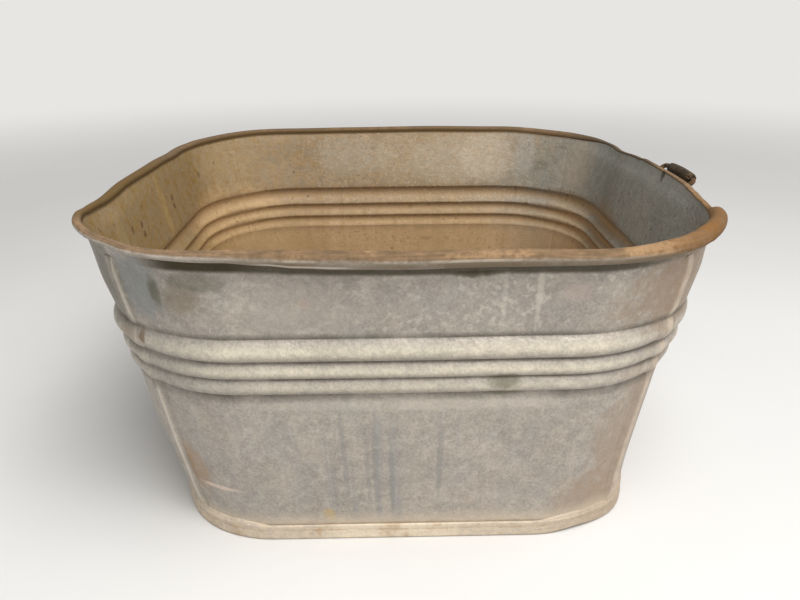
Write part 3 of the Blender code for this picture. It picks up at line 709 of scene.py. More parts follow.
def rim_rust():
    material, start = new_finish("rim_rust")
    where = object_place(start)
    place = attribute(start, "place")
    around, _, _ = parts_of(place)
    _, _, roll = parts_of(attribute(start, "relief"))
    tone = zinc_tone(where)
    patchy = grain(where, 26, 5, 0.65)
    fine = grain(where, 190, 4, 0.65)
    streaks = grain(stretched(place, 0.06, 1, 0), 700, 3)

    zinc = mix(tone, ZINC_DARK, ZINC_LIGHT)
    rust = mix(ramp(patchy * 0.6 + fine * 0.5 + streaks * 0.7, 0.65, 1.15), RIM_DARK, RIM_BROWN)
    rust = mix(ramp(patchy + fine * 0.3, 0.66, 0.82) * 0.6, rust, RUST_TAN)
    corner = ramp(around, 0.14, 0.235) * (1 - ramp(around, 0.29, 0.36))
    blotch = ramp(grain(where, 85, 4, 0.65), 0.38, 0.62)
    rust = mix(corner * (0.45 + blotch * 0.50), rust, RUST_ORANGE)
    rust = mix(corner * (1 - ramp(roll + (fine - 0.5) * 0.1, 0.10, 0.24)) * 0.55, rust, RUST_TAN)
    left_corner = (1 - ramp(around, -0.16, -0.10)) + ramp(around, 1.48, 1.54)
    far = ramp(around, 0.41, 0.47) * (1 - ramp(around, 1.46, 1.54))
    rust = mix((far * 0.65 + ramp(around, 0.30, 0.33) * (1 - far) * 0.3) * (1 - left_corner), rust, RIM_DARK)
    right_back = ramp(around, 0.42, 0.47) * (1 - ramp(around, 0.63, 0.70))
    rust = mix(right_back * 0.85, rust, RIM_UMBER)
    knob = ramp(around, 0.225, 0.255) * (1 - ramp(around, 0.30, 0.33))
    rust = mix(knob * (0.25 + blotch * 0.35), rust, RUST_BROWN)
    pits = ramp(grain(where, 330, 4, 0.7), 0.50, 0.62) * ramp(patchy, 0.38, 0.56)
    rust = mix(pits * (0.22 + corner * 0.25), rust, RUST_BROWN)
    left_side = ramp(around, 1.20, 1.36) * (1 - ramp(around, 1.50, 1.56))
    rust = mix(left_side * 0.85, rust, RIM_OCHRE)
    top = 1 - ramp(roll + (fine - 0.5) * 0.10 - corner * 0.16 + left_corner * 0.03, 0.53, 0.62)
    zinc = mix((0.60 + ramp(patchy, 0.35, 0.6) * 0.35) * (1 - left_corner * 0.8), zinc, LIP_BROWN)
    colour = mix(top * 0.94, zinc, rust)
    # A pale line along the roll just above its outermost point: worn zinc and a painted highlight.
    rim_wear_and_highlight = 1 - ramp((roll - 0.60) * (roll - 0.60), 0.0001, 0.0012)
    rim_wear_and_highlight = rim_wear_and_highlight * (1 - corner) * ramp(patchy + fine * 0.4, 0.58, 0.82)
    colour = mix(rim_wear_and_highlight * 0.35 * (1 - ramp(around, 0.05, 0.15) * 0.6), colour, ZINC_BLOOM_AND_HIGHLIGHT)
    edge = (1 - ramp((roll - 0.72) * (roll - 0.72), 0.0002, 0.0012)) * ramp(around, -0.11, -0.095)
    colour = mix(edge * (1 - ramp(around, -0.05, -0.03)) * 0.6, colour, ZINC_BLOOM_AND_HIGHLIGHT)
    # Painted shade with dirt: the inner lower side of the roll, from the right side round the back to the left.
    inner = (1 - ramp(roll + (fine - 0.5) * 0.04, 0.12, 0.22)) * ramp(around, 0.60, 0.80)
    colour = mix(inner * (1 - ramp(around, 1.54, 1.57)) * 0.9, colour, INNER_DARK)
    # Painted shade in a small notch of the right-hand rim, which the sheet's shape does not have.
    notch = (1 - ramp((around - 0.413) * (around - 0.413), 1e-6, 1.6e-5)) * (1 - ramp(roll, 0.10, 0.20))
    colour = mix(notch * 0.9, colour, GRIME_AND_SHADE)
    # Painted shade: the underside of the roll, where it turns back towards the wall.
    colour = mix(ramp(roll, 0.76, 0.86) * 0.90, colour, GRIME_AND_SHADE)
    complete(material, colour, 0.78 - rim_wear_and_highlight * 0.2, 0.25 * (1 - top), patchy + fine * 0.8 + streaks * 0.4, 0.0006, 0.12)
    return material


def bare_rust(name, dark, light, scale, depth):
    """Rust-browned steel with darker pits."""
    material, start = new_finish(name)
    where = object_place(start)
    patchy = grain(where, scale, 5, 0.65)
    fine = grain(where, scale * 7, 3, 0.6)
    colour = mix(ramp(patchy + fine * 0.4, 0.5, 0.9), dark, light)
    return complete(material, colour, 0.85 - patchy * 0.2, 0.15, patchy + fine, depth, 0.15)


WALL_FINISHES = (outside_zinc(), inside_film(), bare_rust("roll_lining", GRIME_AND_SHADE, RUST_BROWN, 60, 0.0004), rim_rust())
for quarter, name in enumerate(("front_wall", "right_wall", "back_wall", "left_wall")):
    wall = add_piece(name + "_sheet", wall_mesh(name, quarter), WALL_FINISHES, "tub", "galvanised_sheet", name)
    add_thickness(wall, 1)
    even_shading(wall)

# Floor pan. One sheet of the same zinc-coated steel: its edge is bent up outside the walls and folded
# down over their flange, which makes the ring that the tub stands on.
RING_HALF = 0.225125
RING_HEIGHT = 0.0153
RING_BEND = 0.002
RING_GROOVE_HEIGHT = 0.0098
RING_GROOVE_DEPTH = 0.0003
RING_GROOVE_REACH = 0.0012
RING_DENT = 0.0011
RING_LIFTS = ((0.178, 0.022, 0.0026),)
SEAL_START = 0.110
SEAL_REACH = 0.0034
SEAL_LUMPS = 0.0009
SEAL_DEPTH = 0.005
SEAL_FADE = 0.06
FLOOR_CROWN = 0.0022
FOOT_PALE = (0.86, 0.74, 0.565)
FLOOR_RINGS = 14
RING_COLUMNS = 48


def plan_point(quarter, across, half, spread, height):
    """Point of a rounded square, by side and distance along it."""
    side = math.copysign(1, across)
    turn = max(abs(across) - CORNER_SPREAD, 0) / CORNER_LENGTH
    straight = side * min(abs(across) / CORNER_SPREAD, 1) * spread
    point = Vector((straight + side * (half - spread) * math.sin(turn),
                    -spread - (half - spread) * math.cos(turn), height))
    return Matrix.Rotation(quarter * math.pi / 2, 3, "Z") @ point


def ring_section():
    """Section of the foot ring, at mid-thickness, from the floor's edge to the end of the fold."""
    ground = SHEET / 2
    bend = [math.radians(a) for a in spaced(-90, 0, 5)]
    line = [(RING_HALF - RING_BEND + RING_BEND * math.cos(a), ground + RING_BEND + RING_BEND * math.sin(a))
            for a in bend]
    fold_height = RING_HEIGHT - SHEET / 2 - LAYER
    for height in spaced(line[-1][1], fold_height, 14)[1:]:
        groove = math.exp(-((height - RING_GROOVE_HEIGHT) / RING_GROOVE_REACH) ** 2)
        line.append((RING_HALF - RING_GROOVE_DEPTH * groove, height))
    turns = [math.radians(a) for a in spaced(0, 180, 8)][1:]
    line += [(RING_HALF - LAYER + LAYER * math.cos(a), fold_height + LAYER * math.sin(a)) for a in turns]
    return line + [(RING_HALF - 2 * LAYER, FOOT_BOTTOM)]


def seal_corners(bm, place_layer):
    """Zinc and dirt that fill the crevice between the ring's fold and the wall, lumpy and only at the corners."""
    for quarter in range(4):
        columns = []
        for across in spaced(SEAL_START, SIDE - SEAL_START, RING_COLUMNS):
            turned, along = (quarter, across) if across <= HALF_SIDE else (quarter + 1, across - SIDE)
            place = quarter * SIDE + across
            knock = corner_knock(place, RING_HEIGHT)
            lump = noise.noise(plan_point(turned, along, 1, FOOT_SPREAD, 0) * 40)
            full = smooth_step(SEAL_START, SEAL_START + SEAL_FADE, HALF_SIDE - abs(across - HALF_SIDE))
            rise = SEAL_REACH * (0.75 + 0.25 * lump) * full
            top = RING_HEIGHT + rise - SEAL_DEPTH * (1 - full)
            line = ((RING_HALF - LAYER - (1 - full) * LAYER, RING_HEIGHT - 2 * LAYER),
                    (RING_HALF - LAYER + SEAL_LUMPS * lump * full, RING_HEIGHT * 0.7 + top * 0.3 - SHEET / 2),
                    (FOOT_HALF + SHEET, top), (FOOT_HALF - SHEET, top))
            column = []
            for half, height in line:
                vert = bm.verts.new(plan_point(turned, along, half + knock, FOOT_SPREAD, height))
                vert[place_layer] = (place, height, 2)
                column.append(vert)
            columns.append(column)
        for left, right in zip(columns, columns[1:]):
            for i in range(len(left) - 1):
                bm.faces.new((left[i], right[i], right[i + 1], left[i + 1]))


def floor_pan_mesh():
    bm = bmesh.new()
    place_layer = bm.verts.layers.float_vector.new("place")
    section = ring_section()
    edge_half, ground = section[0]
    stations = [(quarter, across) for quarter in range(4)
                for across in spaced(-HALF_SIDE, HALF_SIDE, RING_COLUMNS)[:-1]]
    rings = []
    for share in spaced(0, 1, FLOOR_RINGS)[1:-1]:
        ring = []
        for quarter, across in stations:
            knock = corner_knock(quarter * SIDE + across, 0)
            flat = plan_point(quarter, across, edge_half + knock, FOOT_SPREAD, 0) * share
            wave = 0.5 + 0.5 * noise.noise(flat * 7)
            flat.z = ground + FLOOR_CROWN * wave * smooth_step(0, 0.35, 1 - share)
            flat.z += bumps(quarter * SIDE + across, RING_LIFTS) * smooth_step(0.75, 1, share)
            vert = bm.verts.new(flat)
            vert[place_layer] = (quarter * SIDE + across, flat.z, share)
            ring.append(vert)
        rings.append(ring)
    for index, (half, height) in enumerate(section):
        ring = []
        for quarter, across in stations:
            dent = RING_DENT * noise.noise(plan_point(quarter, across, 1, FOOT_SPREAD, 0) * 9)
            set_in = dent * smooth_step(0.002, 0.006, height) if half > RING_HALF - LAYER else 0
            knock = corner_knock(quarter * SIDE + across, height)
            lift = bumps(quarter * SIDE + across, RING_LIFTS) * (1 - height / RING_HEIGHT)
            out = half + knock - abs(set_in)
            vert = bm.verts.new(plan_point(quarter, across, out, FOOT_SPREAD, height + lift))
            vert[place_layer] = (quarter * SIDE + across, height, 1 + index / len(section))
            ring.append(vert)
        rings.append(ring)
    seal_corners(bm, place_layer)
    middle = bm.verts.new((0, 0, ground + FLOOR_CROWN * 0.5))
    for i, vert in enumerate(rings[0]):
        bm.faces.new((middle, rings[0][(i + 1) % len(stations)], vert))
    for low, high in zip(rings, rings[1:]):
        for i in range(len(stations)):
            after = (i + 1) % len(stations)
            bm.faces.new((low[i], low[after], high[after], high[i]))
    for face in bm.faces:
        face.smooth = True
    mesh = bpy.data.meshes.new("floor_pan")
    bm.to_mesh(mesh)
    bm.free()
    return mesh


def ring_zinc():
    """Zinc of the foot ring and the underside, filmed with pale dirt and rusted in its groove."""
    material, start = new_finish("ring_zinc")
    where = object_place(start)
    around, height, share = parts_of(attribute(start, "place"))
    tone = zinc_tone(where)
    patchy = grain(where, 30, 4, 0.65)
    fine = grain(where, 160, 4, 0.6)
    colour = mix(tone, ZINC_DARK, ZINC_LIGHT)
    colour = mix(0.55 + ramp(fine, 0.35, 0.65) * 0.40, colour, FOOT_CREAM)
    bleached = ramp(around, -0.10, -0.06) * (1 - ramp(around, 0.03, 0.08))
    colour = mix(bleached * 0.45, colour, FOOT_PALE)
    groove = 1 - ramp((height - RING_GROOVE_HEIGHT) * (height - RING_GROOVE_HEIGHT), 2e-7, 1.6e-6)
    colour = mix(groove * ramp(share, 1.0, 1.02) * ramp(patchy, 0.40, 0.62) * 0.5, colour, RUST_TAN)
    colour = mix(ramp(patchy + fine * 0.3, 0.68, 0.85) * 0.55, colour, RUST_TAN)
    colour = mix(ramp(around, 0.10, 0.22) * (1 - ramp(around, 0.50, 0.60)) * 0.55, colour, CORNER_TAN)
    return complete(material, colour, 0.7 - tone * 0.15, 0.2, tone + fine * 0.6, 0.0006, 0.3)


def floor_film():
    """Inside of the floor: brown water film, dried rings and rust dots."""
    material, start = new_finish("floor_film")
    where = object_place(start)
    tone = zinc_tone(where)
    patchy = grain(where, 11, 5, 0.65)
    fine = grain(where, 120, 4, 0.65)
    film = mix(ramp(patchy + fine * 0.3, 0.45, 0.85), FILM_OCHRE, FILM_TAN)
    colour = mix(tone, INSIDE_GREY, ZINC_LIGHT)
    colour = mix(0.72 + ramp(patchy, 0.35, 0.6) * 0.24, colour, film)
    tide = ramp(grain(where, 5, 3), 0.46, 0.49) * (1 - ramp(grain(where, 5, 3), 0.49, 0.53))
    colour = mix(tide * 0.16, colour, RUST_BROWN)
    colour = mix(pepper(where, 30, 0.13) * 0.75, colour, RUST_BROWN)
    return complete(material, colour, 0.72 - tone * 0.1, 0.12, tone + fine * 0.7, 0.0008, 0.25)


floor_pan = add_piece("floor_pan_sheet", floor_pan_mesh(), (ring_zinc(), floor_film()), "tub", "galvanised_sheet",
                      "floor_pan")
add_thickness(floor_pan, 1)
even_shading(floor_pan)

# Rim rod. A steel rod lies inside the rolled rim all the way round and stiffens it.
ROD_RADIUS = 0.0054
ROD_SIDES = 12


def rim_rod_mesh():
    """The rod follows every bend of the roll around it."""
    bm = bmesh.new()
    rings = []
    for quarter in range(4):
        for across in spaced(-HALF_SIDE, HALF_SIDE, RING_COLUMNS)[:-1]:
            place = quarter * SIDE + across
            ring = []
            for side in range(ROD_SIDES):
                turn = 2 * math.pi * side / ROD_SIDES
                spot = ROLL_CENTRE + ROD_RADIUS * Vector((math.cos(turn), math.sin(turn)))
                half, height = crushed(place, *spot)
                half += wall_bow(place, ROLL_CENTRE.y)
                ring.append(bm.verts.new(plan_point(quarter, across, half, CORNER_SPREAD, height)))
            rings.append(ring)
    for low, high in zip(rings, rings[1:] + rings[:1]):
        for i in range(ROD_SIDES):
            after = (i + 1) % ROD_SIDES
            face = bm.faces.new((low[i], high[i], high[after], low[after]))
            face.smooth = True
    mesh = bpy.data.meshes.new("rim_rod")
    bm.to_mesh(mesh)
    bm.free()
    return mesh


add_piece("rim_rod_bar", rim_rod_mesh(), (bare_rust("rod_rust", GRIME_AND_SHADE, RUST_BROWN, 45, 0.0004),), "tub",
          "rim_rod_steel", "rim_rod")

# Ears. Each handle hangs in two straps of galvanised steel, bent round its pin with both legs laid flat
# together on the wall under the rim and riveted there.
PIVOT = Vector((0.265526, 0.0, 0.261979))
EAR_SIDE = 0.0548
EAR_WIDTH = 0.018
EAR_SHEET = 0.0012
EAR_LEG = 0.028
EAR_CORNER = 0.006
EYE_MIDDLE = 0.0038
EYE_END = math.radians(-75)
EYE_FILLET = 0.0018
EAR_ENDS = {"right": ("front", "back"), "left": ("back", "front")}
TAIL_GREY = (0.21, 0.212, 0.195)


def handle_frame(hand):
    """Place of a handle's hinge line: x out of the wall, y along it, z up."""
    if hand == "right":
        return Matrix.Translation(PIVOT)
    return Matrix.Translation((-PIVOT.x, 0, PIVOT.z)) @ Matrix.Rotation(math.pi, 4, "Z")


def wall_frame(hand, side):
    """Place on the hinge line, turned so that x is square to the band and z runs up it."""
    return handle_frame(hand) @ Matrix.Translation((0, side, 0)) @ Matrix.Rotation(BAND_TILT, 4, "Y")


def strap_line():
    """Mid-line of the strap, out of the wall and up it, with how far down its leg each point is."""
    eye = [(EYE_MIDDLE * math.cos(a), EYE_MIDDLE * math.sin(a)) for a in spaced(math.pi, EYE_END, 26)]
    front = EAR_SHEET - EYE_MIDDLE
    heading = EYE_END - math.pi / 2
    fillet = [(EYE_FILLET * math.sin(a), -EYE_FILLET * math.cos(a)) for a in spaced(heading, -math.pi / 2, 8)]
    run = (eye[-1][0] - front + fillet[-1][0] - fillet[0][0]) / -math.cos(heading)
    bend_x = eye[-1][0] + run * math.cos(heading) - fillet[0][0]
    bend_y = eye[-1][1] + run * math.sin(heading) - fillet[0][1]
    turned = [(x + bend_x, y + bend_y) for x, y in fillet]
    back_leg = [(-EYE_MIDDLE, 0, share) for share in spaced(1, 0, 10)[:-1]]
    front_leg = [(front, turned[-1][1], share) for share in spaced(0, 1, 10)[1:]]
    return back_leg + [(x, y, 0) for x, y in eye + turned] + front_leg


def ear_mesh(hand, side):
    bm = bmesh.new()
    frame_at = wall_frame(hand, side)
    columns = []
    for across in spaced(-EAR_WIDTH / 2, EAR_WIDTH / 2, 18):
        overhang = max(abs(across) - EAR_WIDTH / 2 + EAR_CORNER, 0)
        leg_end = EAR_CORNER - math.sqrt(EAR_CORNER ** 2 - overhang ** 2) - EAR_LEG
        column = []
        for x, y, share in strap_line():
            column.append(bm.verts.new(frame_at @ Vector((x, across, y + (leg_end - y) * share))))
        columns.append(column)
    for left, right in zip(columns, columns[1:]):
        for i in range(len(left) - 1):
            face = bm.faces.new((left[i], right[i], right[i + 1], left[i + 1]))
            face.smooth = True
    mesh = bpy.data.meshes.new("ear")
    bm.to_mesh(mesh)
    bm.free()
    return mesh


def fitting_zinc(name, rusted, filmed=None):
    """Zinc of the small fittings, with rust bleeding through; an inside end may be filmed over."""
    material, start = new_finish(name)
    where = object_place(start)
    tone = zinc_tone(where)
    patchy = grain(where, 90, 5, 0.65)
    fine = grain(where, 500, 3)
    colour = mix(tone, ZINC_DARK, ZINC_LIGHT)
    rust = ramp(patchy + fine * 0.2, 0.72 - rusted, 0.86 - rusted)
    colour = mix(rust * 0.85, colour, mix(fine, RUST_BROWN, RUST_ORANGE))
    if filmed is not None:
        along = parts_of(attribute(start, "place"))[2]
        tail = 1 - ramp(along, filmed, filmed + 0.0005)
        rust = rust + tail * (1 - rust)
        tail_colour = mix(ramp(parts_of(where)[0], -0.05, 0.05), RUST_BROWN, TAIL_GREY)
        colour = mix(tail * (0.75 + patchy * 0.4), colour, tail_colour)
    return complete(material, colour, 0.6 + rust * 0.25, 0.45 * (1 - rust * 0.8), tone + fine * 0.6, 0.0003, 0.3)


EAR_ZINC = fitting_zinc("ear_zinc", 0.16)
for hand, ends in EAR_ENDS.items():
    for end, side in zip(ends, (-EAR_SIDE, EAR_SIDE)):
        label = hand + "_" + end + "_ear"
        ear = add_piece(label + "_strap", ear_mesh(hand, side), (EAR_ZINC,), "tub", "galvanised_sheet", label)
        add_thickness(ear, 0)
        ear.modifiers["sheet"].thickness = EAR_SHEET
        rounded = ear.modifiers.new("edge", "BEVEL")
        rounded.width = 0.0003
        rounded.segments = 2

# Ear rivets. Soft steel rivets, two through each ear and the wall, hammered to a dome outside and nearly
# flat inside.
RIVET_DROPS = {"upper": 0.011, "lower": 0.021}
RIVET_SEAT = -0.0017
RIVET_BACK = -0.00575
HEAD_RADIUS = 0.0038
HEAD_HEIGHT = 0.0021
TAIL_RADIUS = 0.0034
TAIL_HEIGHT = 0.0004
RIVET_SIDES = 28
HAMMERED = 0.00018


def turned_mesh(name, profile, sides, placing, unevenness):
    """Solid of revolution about z from a radius and height profile, roughened by an uneven function."""
    bm = bmesh.new()
    place_layer = bm.verts.layers.float_vector.new("place")
    rings = []
    for radius, height in profile:
        ring = []
        for side in range(sides):
            turn = 2 * math.pi * side / sides
            flat = Vector((math.cos(turn), math.sin(turn), 0))
            spot = flat * radius + Vector((0, 0, height))
            vert = bm.verts.new(placing @ (spot - unevenness(spot, flat)))
            vert[place_layer] = spot
            ring.append(vert)
        rings.append(ring)
    for low, high in zip(rings, rings[1:]):
        for i in range(sides):
            after = (i + 1) % sides
            face = bm.faces.new((low[i], low[after], high[after], high[i]))
            face.smooth = True
    bmesh.ops.recalc_face_normals(bm, faces=bm.faces)
    mesh = bpy.data.meshes.new(name)
    bm.to_mesh(mesh)
    bm.free()
    return mesh


def rivet_profile():
    """Tail, shank and domed head; the head has a small flat rim where the set struck it."""
    tail = [(TAIL_RADIUS * math.sin(a), RIVET_BACK - TAIL_HEIGHT * math.cos(a)) for a in spaced(0.02, math.pi / 2, 6)]
    head = [(HEAD_RADIUS * math.cos(a), RIVET_SEAT + 0.0003 + (HEAD_HEIGHT - 0.0003) * math.sin(a))
            for a in spaced(0, math.pi / 2 - 0.02, 9)]
    return tail + [(0.002, RIVET_BACK), (0.002, RIVET_SEAT), (HEAD_RADIUS, RIVET_SEAT)] + head


def hammer_marks(spot, flat):
    return flat * HAMMERED * (0.6 + noise.noise(spot * 900)) * min(spot.xy.length / TAIL_RADIUS, 1)


RIVET_ZINC = fitting_zinc("rivet_zinc", 0.10, RIVET_BACK)
for hand, ends in EAR_ENDS.items():
    for end, side in zip(ends, (-EAR_SIDE, EAR_SIDE)):
        for place, drop in RIVET_DROPS.items():
            label = hand + "_" + end + "_" + place + "_rivet"
            placing = wall_frame(hand, side) @ Matrix.Translation((0, 0, -drop)) @ Matrix.Rotation(math.pi / 2, 4, "Y")
            rivet = turned_mesh(label, rivet_profile(), RIVET_SIDES, placing, hammer_marks)
            add_piece(label + "_dome", rivet, (RIVET_ZINC,), "tub", "rivet_steel", label)

# Handle wires. One length of rust-browned steel wire for each handle, bent square at the grip and turned
# outward at its ends as the pins that hang in the ears.
HANDLE_ARM = 0.041
ARM_SIDE = 0.0408
WIRE_RADIUS = 0.0025
WIRE_BEND = 0.005
PIN_BEND = 0.004
PIN_LENGTH = 0.022
WIRE_SIDES = 18
WIRE_PITS = 0.00012
REST_ANGLES = {"right": math.radians(35), "left": math.radians(-90)}


def bail_frame(hand):
    return handle_frame(hand) @ Matrix.Rotation(-REST_ANGLES[hand], 4, "Y")


def bail_line():
    """Path of the wire in its own plane, from one pin to the other."""
    pin = [Vector((0, ARM_SIDE + PIN_BEND + run, 0)) for run in spaced(PIN_LENGTH, 0, 14)[:-1]]
    out_turn = [Vector((PIN_BEND - PIN_BEND * math.cos(a), ARM_SIDE + PIN_BEND - PIN_BEND * math.sin(a), 0))
                for a in spaced(0, math.pi / 2, 8)]
    arm = [Vector((run, ARM_SIDE, 0)) for run in spaced(PIN_BEND, HANDLE_ARM - WIRE_BEND, 18)[1:-1]]
    in_turn = [Vector((HANDLE_ARM - WIRE_BEND + WIRE_BEND * math.sin(a),
                       ARM_SIDE - WIRE_BEND + WIRE_BEND * math.cos(a), 0)) for a in spaced(0, math.pi / 2, 8)]
    half = pin + out_turn + arm + in_turn
    return half + [Vector((p.x, -p.y, 0)) for p in reversed(half)]


def bail_mesh(hand):
    bm = bmesh.new()
    placing = bail_frame(hand)
    line = bail_line()
    lift = Vector((0, 0, 1))
    rings = []
    for i, middle in enumerate(line):
        along = (line[min(i + 1, len(line) - 1)] - line[max(i - 1, 0)]).normalized()
        sideways = along.cross(lift)
        ring = []
        for side in range(WIRE_SIDES):
            turn = 2 * math.pi * side / WIRE_SIDES
            flat = sideways * math.cos(turn) + lift * math.sin(turn)
            pit = WIRE_PITS * abs(noise.noise((middle + flat * WIRE_RADIUS) * 420))
            ring.append(bm.verts.new(placing @ (middle + flat * (WIRE_RADIUS - pit))))
        rings.append(ring)
    for low, high in zip(rings, rings[1:]):
        for i in range(WIRE_SIDES):
            after = (i + 1) % WIRE_SIDES
            face = bm.faces.new((low[i], high[i], high[after], low[after]))
            face.smooth = True
    for ring in (rings[0], rings[-1]):
        cap = bm.faces.new(ring)
        bmesh.ops.bevel(bm, geom=list(cap.edges), offset=0.0006, segments=2, affect="EDGES")
    bmesh.ops.recalc_face_normals(bm, faces=bm.faces)
    mesh = bpy.data.meshes.new(hand + "_bail")
    bm.to_mesh(mesh)
    bm.free()
    return mesh


WIRE_RUST = bare_rust("wire_rust", (0.040, 0.025, 0.013), (0.15, 0.082, 0.038), 160, 0.0003)
for hand in EAR_ENDS:
    add_piece(hand + "_bail_wire", bail_mesh(hand), (WIRE_RUST,), hand + "_handle", "rusty_wire", hand + "_bail")

# Grips. Turned wooden sleeves, loose on the wire and swelled in the middle, dark with age and handling,
# with dry cracks along the grain and chipped ends.
GRIP_LENGTH = 0.061
GRIP_SLIDE = -0.0045
GRIP_RADIUS = 0.0065
GRIP_END_RADIUS = 0.0054
GRIP_BORE = 0.0031
GRIP_SIDES = 56
GRIP_STATIONS = 60
GRIP_CHAMFER = 0.0007
CHIP_REACH = 0.005
CHIP_DEPTH = 0.0011
SPLINTER_REACH = 0.014
SPLINTER_LOSS = 0.0045
CRACK_DEPTH = 0.0007
WOOD_DARK = (0.016, 0.010, 0.005)
WOOD_BROWN = (0.062, 0.038, 0.018)
WOOD_BARE = (0.115, 0.074, 0.037)


def grip_profile():
    half = GRIP_LENGTH / 2
    outer = []
    for rise in spaced(-half, half, GRIP_STATIONS):
        swell = GRIP_END_RADIUS + (GRIP_RADIUS - GRIP_END_RADIUS) * (1 - (rise / half) ** 2)
        chamfer = GRIP_CHAMFER * smooth_step(half - 0.0015, half, abs(rise))
        outer.append((swell - chamfer, rise))
    low_end = [(radius, -half) for radius in spaced(GRIP_BORE, outer[0][0], 5)[:-1]]
    high_end = [(radius, half) for radius in spaced(outer[-1][0], GRIP_BORE, 5)[1:]]
    return [(GRIP_BORE, 0)] + low_end + outer + high_end + [(GRIP_BORE, 0)]


def worn_wood(spot, flat):
    """How much wood is gone: open grain, long dry cracks and chips at the ends."""
    radius = spot.xy.length
    if radius < GRIP_BORE * 1.05:
        return Vector()
    seam = noise.noise(Vector((flat.x * 3.1, flat.y * 3.1, spot.z * 14)))
    crack = CRACK_DEPTH * math.exp(-(seam / 0.05) ** 2) * max(noise.noise(flat * 2 + Vector((0, 0, spot.z * 40))), 0)
    open_grain = 0.00016 * (1 + noise.noise(Vector((flat.x * 9, flat.y * 9, spot.z * 60))))
    near_end = smooth_step(GRIP_LENGTH / 2 - CHIP_REACH, GRIP_LENGTH / 2, abs(spot.z))
    chip = CHIP_DEPTH * near_end * max(noise.noise(spot * 420) + 0.2, 0)
    outer_share = smooth_step(GRIP_BORE, GRIP_END_RADIUS - GRIP_CHAMFER, radius)
    stripe = 0.5 + 0.5 * noise.noise(Vector((flat.x * 2.3, flat.y * 2.3, 0.4)) + flat * radius * 180)
    splinter = SPLINTER_LOSS * stripe * smooth_step(GRIP_LENGTH / 2 - SPLINTER_REACH, GRIP_LENGTH / 2, spot.z)
    end_loss = Vector((0, 0, math.copysign(chip * 0.6, spot.z) + splinter))
    return flat * (crack + open_grain + chip) * outer_share + end_loss


def dark_wood():
    """Dark oiled wood: grain lines along the sleeve, paler bare wood at the chipped ends."""
    material, start = new_finish("dark_wood_grain")
    place = attribute(start, "place")
    _, _, along = parts_of(place)
    lines = grain(stretched(place, 1, 1, 0.05), 650, 4, 0.65)
    patchy = grain(place, 120, 4, 0.6)
    colour = mix(ramp(lines + patchy * 0.5, 0.55, 0.95), WOOD_DARK, WOOD_BROWN)
    splintered = ramp(along + (lines - 0.5) * 0.02, GRIP_LENGTH / 2 - 0.012, GRIP_LENGTH / 2 - 0.002)
    colour = mix(splintered * ramp(lines, 0.42, 0.58) * 0.75, colour, WOOD_BARE)
    far_end = ramp(0 - along, GRIP_LENGTH / 2 - 0.002, GRIP_LENGTH / 2)
    colour = mix(far_end * 0.4, colour, WOOD_BARE)
    return complete(material, colour, 0.72 - lines * 0.12, 0.0, lines + patchy * 0.5, 0.0004, 0.15)


GRIP_WOOD = dark_wood()
for hand in EAR_ENDS:
    middle = Matrix.Translation((HANDLE_ARM, GRIP_SLIDE, 0))
    placing = bail_frame(hand) @ middle @ Matrix.Rotation(math.pi / 2, 4, "X")
    sleeve = turned_mesh(hand + "_grip", grip_profile(), GRIP_SIDES, placing, worn_wood)
    add_piece(hand + "_grip_sleeve", sleeve, (GRIP_WOOD,), hand + "_handle_grip", "dark_wood", hand + "_grip")

# Studio: a plain pale floor that fades into the pale surroundings, one large soft lamp to the front right
# and even light all round.
FLOOR_PALE = (0.71, 0.70, 0.68)
FLOOR_SHADE = (0.69, 0.68, 0.66)
BACKGROUND_PALE = (0.80, 0.79, 0.77)
SURROUND_LIGHT = 0.45
FLOOR_REACH = 8.0
FADE_START, FADE_END = 1.0, 3.4

floor_mesh = bpy.data.meshes.new("studio_floor")
floor_mesh.from_pydata([(-FLOOR_REACH, -FLOOR_REACH, 0), (FLOOR_REACH, -FLOOR_REACH, 0),
                        (FLOOR_REACH, FLOOR_REACH, 0), (-FLOOR_REACH, FLOOR_REACH, 0)], [], [(0, 1, 2, 3)])
floor = bpy.data.objects.new("studio_floor", floor_mesh)
bpy.context.scene.collection.objects.link(floor)


def open_view(start):
    """1 for what the camera, a reflection or a look through glass sees, 0 for light on the object."""
    seen = [start.node("LightPath", {}, {}, "Is %s Ray" % kind) for kind in ("Camera", "Glossy", "Transmission")]
    return seen[0].maths("MAXIMUM", seen[0].maths("MAXIMUM", seen[0], seen[1]), seen[2])


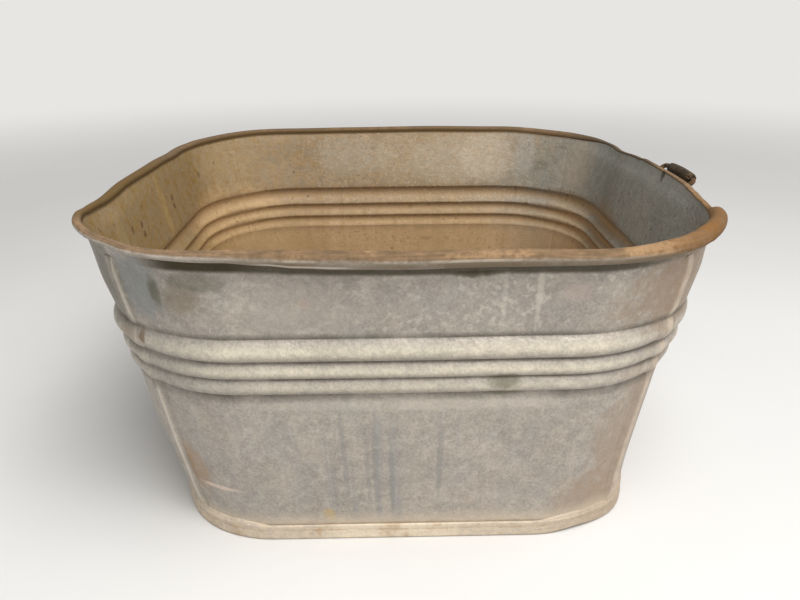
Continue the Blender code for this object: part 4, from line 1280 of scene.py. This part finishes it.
pale_floor, start = new_finish("pale_floor")
where = object_place(start)
complete(pale_floor, mix(ramp(grain(where, 3, 3), 0.3, 0.7), FLOOR_PALE, FLOOR_SHADE), 0.85, 0.0)
distance = where.node("VectorMath", {"operation": "LENGTH"}, {0: where}, "Value")
glow = start.node("Emission", {}, {"Color": (*BACKGROUND_PALE, 1), "Strength": 1.0})
plain = Shade(pale_floor.node_tree, pale_floor.node_tree.nodes["Principled BSDF"].outputs[0])
faded = ramp(distance, FADE_START, FADE_END) * open_view(start)
surface = start.node("MixShader", {}, {0: faded, 1: plain, 2: glow})
pale_floor.node_tree.links.new(surface.socket, pale_floor.node_tree.nodes["Material Output"].inputs["Surface"])
floor_mesh.materials.append(pale_floor)

world = bpy.data.worlds.new("studio")
bpy.context.scene.world = world
world.use_nodes = True
surround = Shade(world.node_tree)
even = surround.node("Background", {}, {"Color": (1, 1, 1, 1), "Strength": SURROUND_LIGHT})
pale = surround.node("Background", {}, {"Color": (*BACKGROUND_PALE, 1), "Strength": 1.0})
sky = surround.node("MixShader", {}, {0: open_view(surround), 1: even, 2: pale})
world.node_tree.links.new(sky.socket, world.node_tree.nodes["World Output"].inputs["Surface"])

lamp = bpy.data.lights.new("key_light", "AREA")
lamp.size = 1.5
lamp.energy = 64
key = bpy.data.objects.new("key_light", lamp)
bpy.context.scene.collection.objects.link(key)
key.location = Vector((0.25, -0.45, 0.86)) * 2.4
key.rotation_euler = (-key.location).to_track_quat("-Z", "Y").to_euler()

# Camera: where the photograph was taken from.
CAMERA_PLACE = Vector((-0.00953, -0.76024, 0.4536))
CAMERA_HEADING = 0.0134
CAMERA_PITCH = 0.3869
CAMERA_ROLL = -0.0096
CAMERA_LENS = 32.67
camera_data = bpy.data.cameras.new("camera")
camera_data.lens = CAMERA_LENS
camera = bpy.data.objects.new("camera", camera_data)
bpy.context.scene.collection.objects.link(camera)
aim = Matrix.Rotation(-CAMERA_HEADING, 4, "Z") @ Matrix.Rotation(math.pi / 2 - CAMERA_PITCH, 4, "X")
camera.matrix_world = Matrix.Translation(CAMERA_PLACE) @ aim @ Matrix.Rotation(CAMERA_ROLL, 4, "Z")
bpy.context.scene.camera = camera
bpy.context.scene.view_settings.view_transform = "Standard"
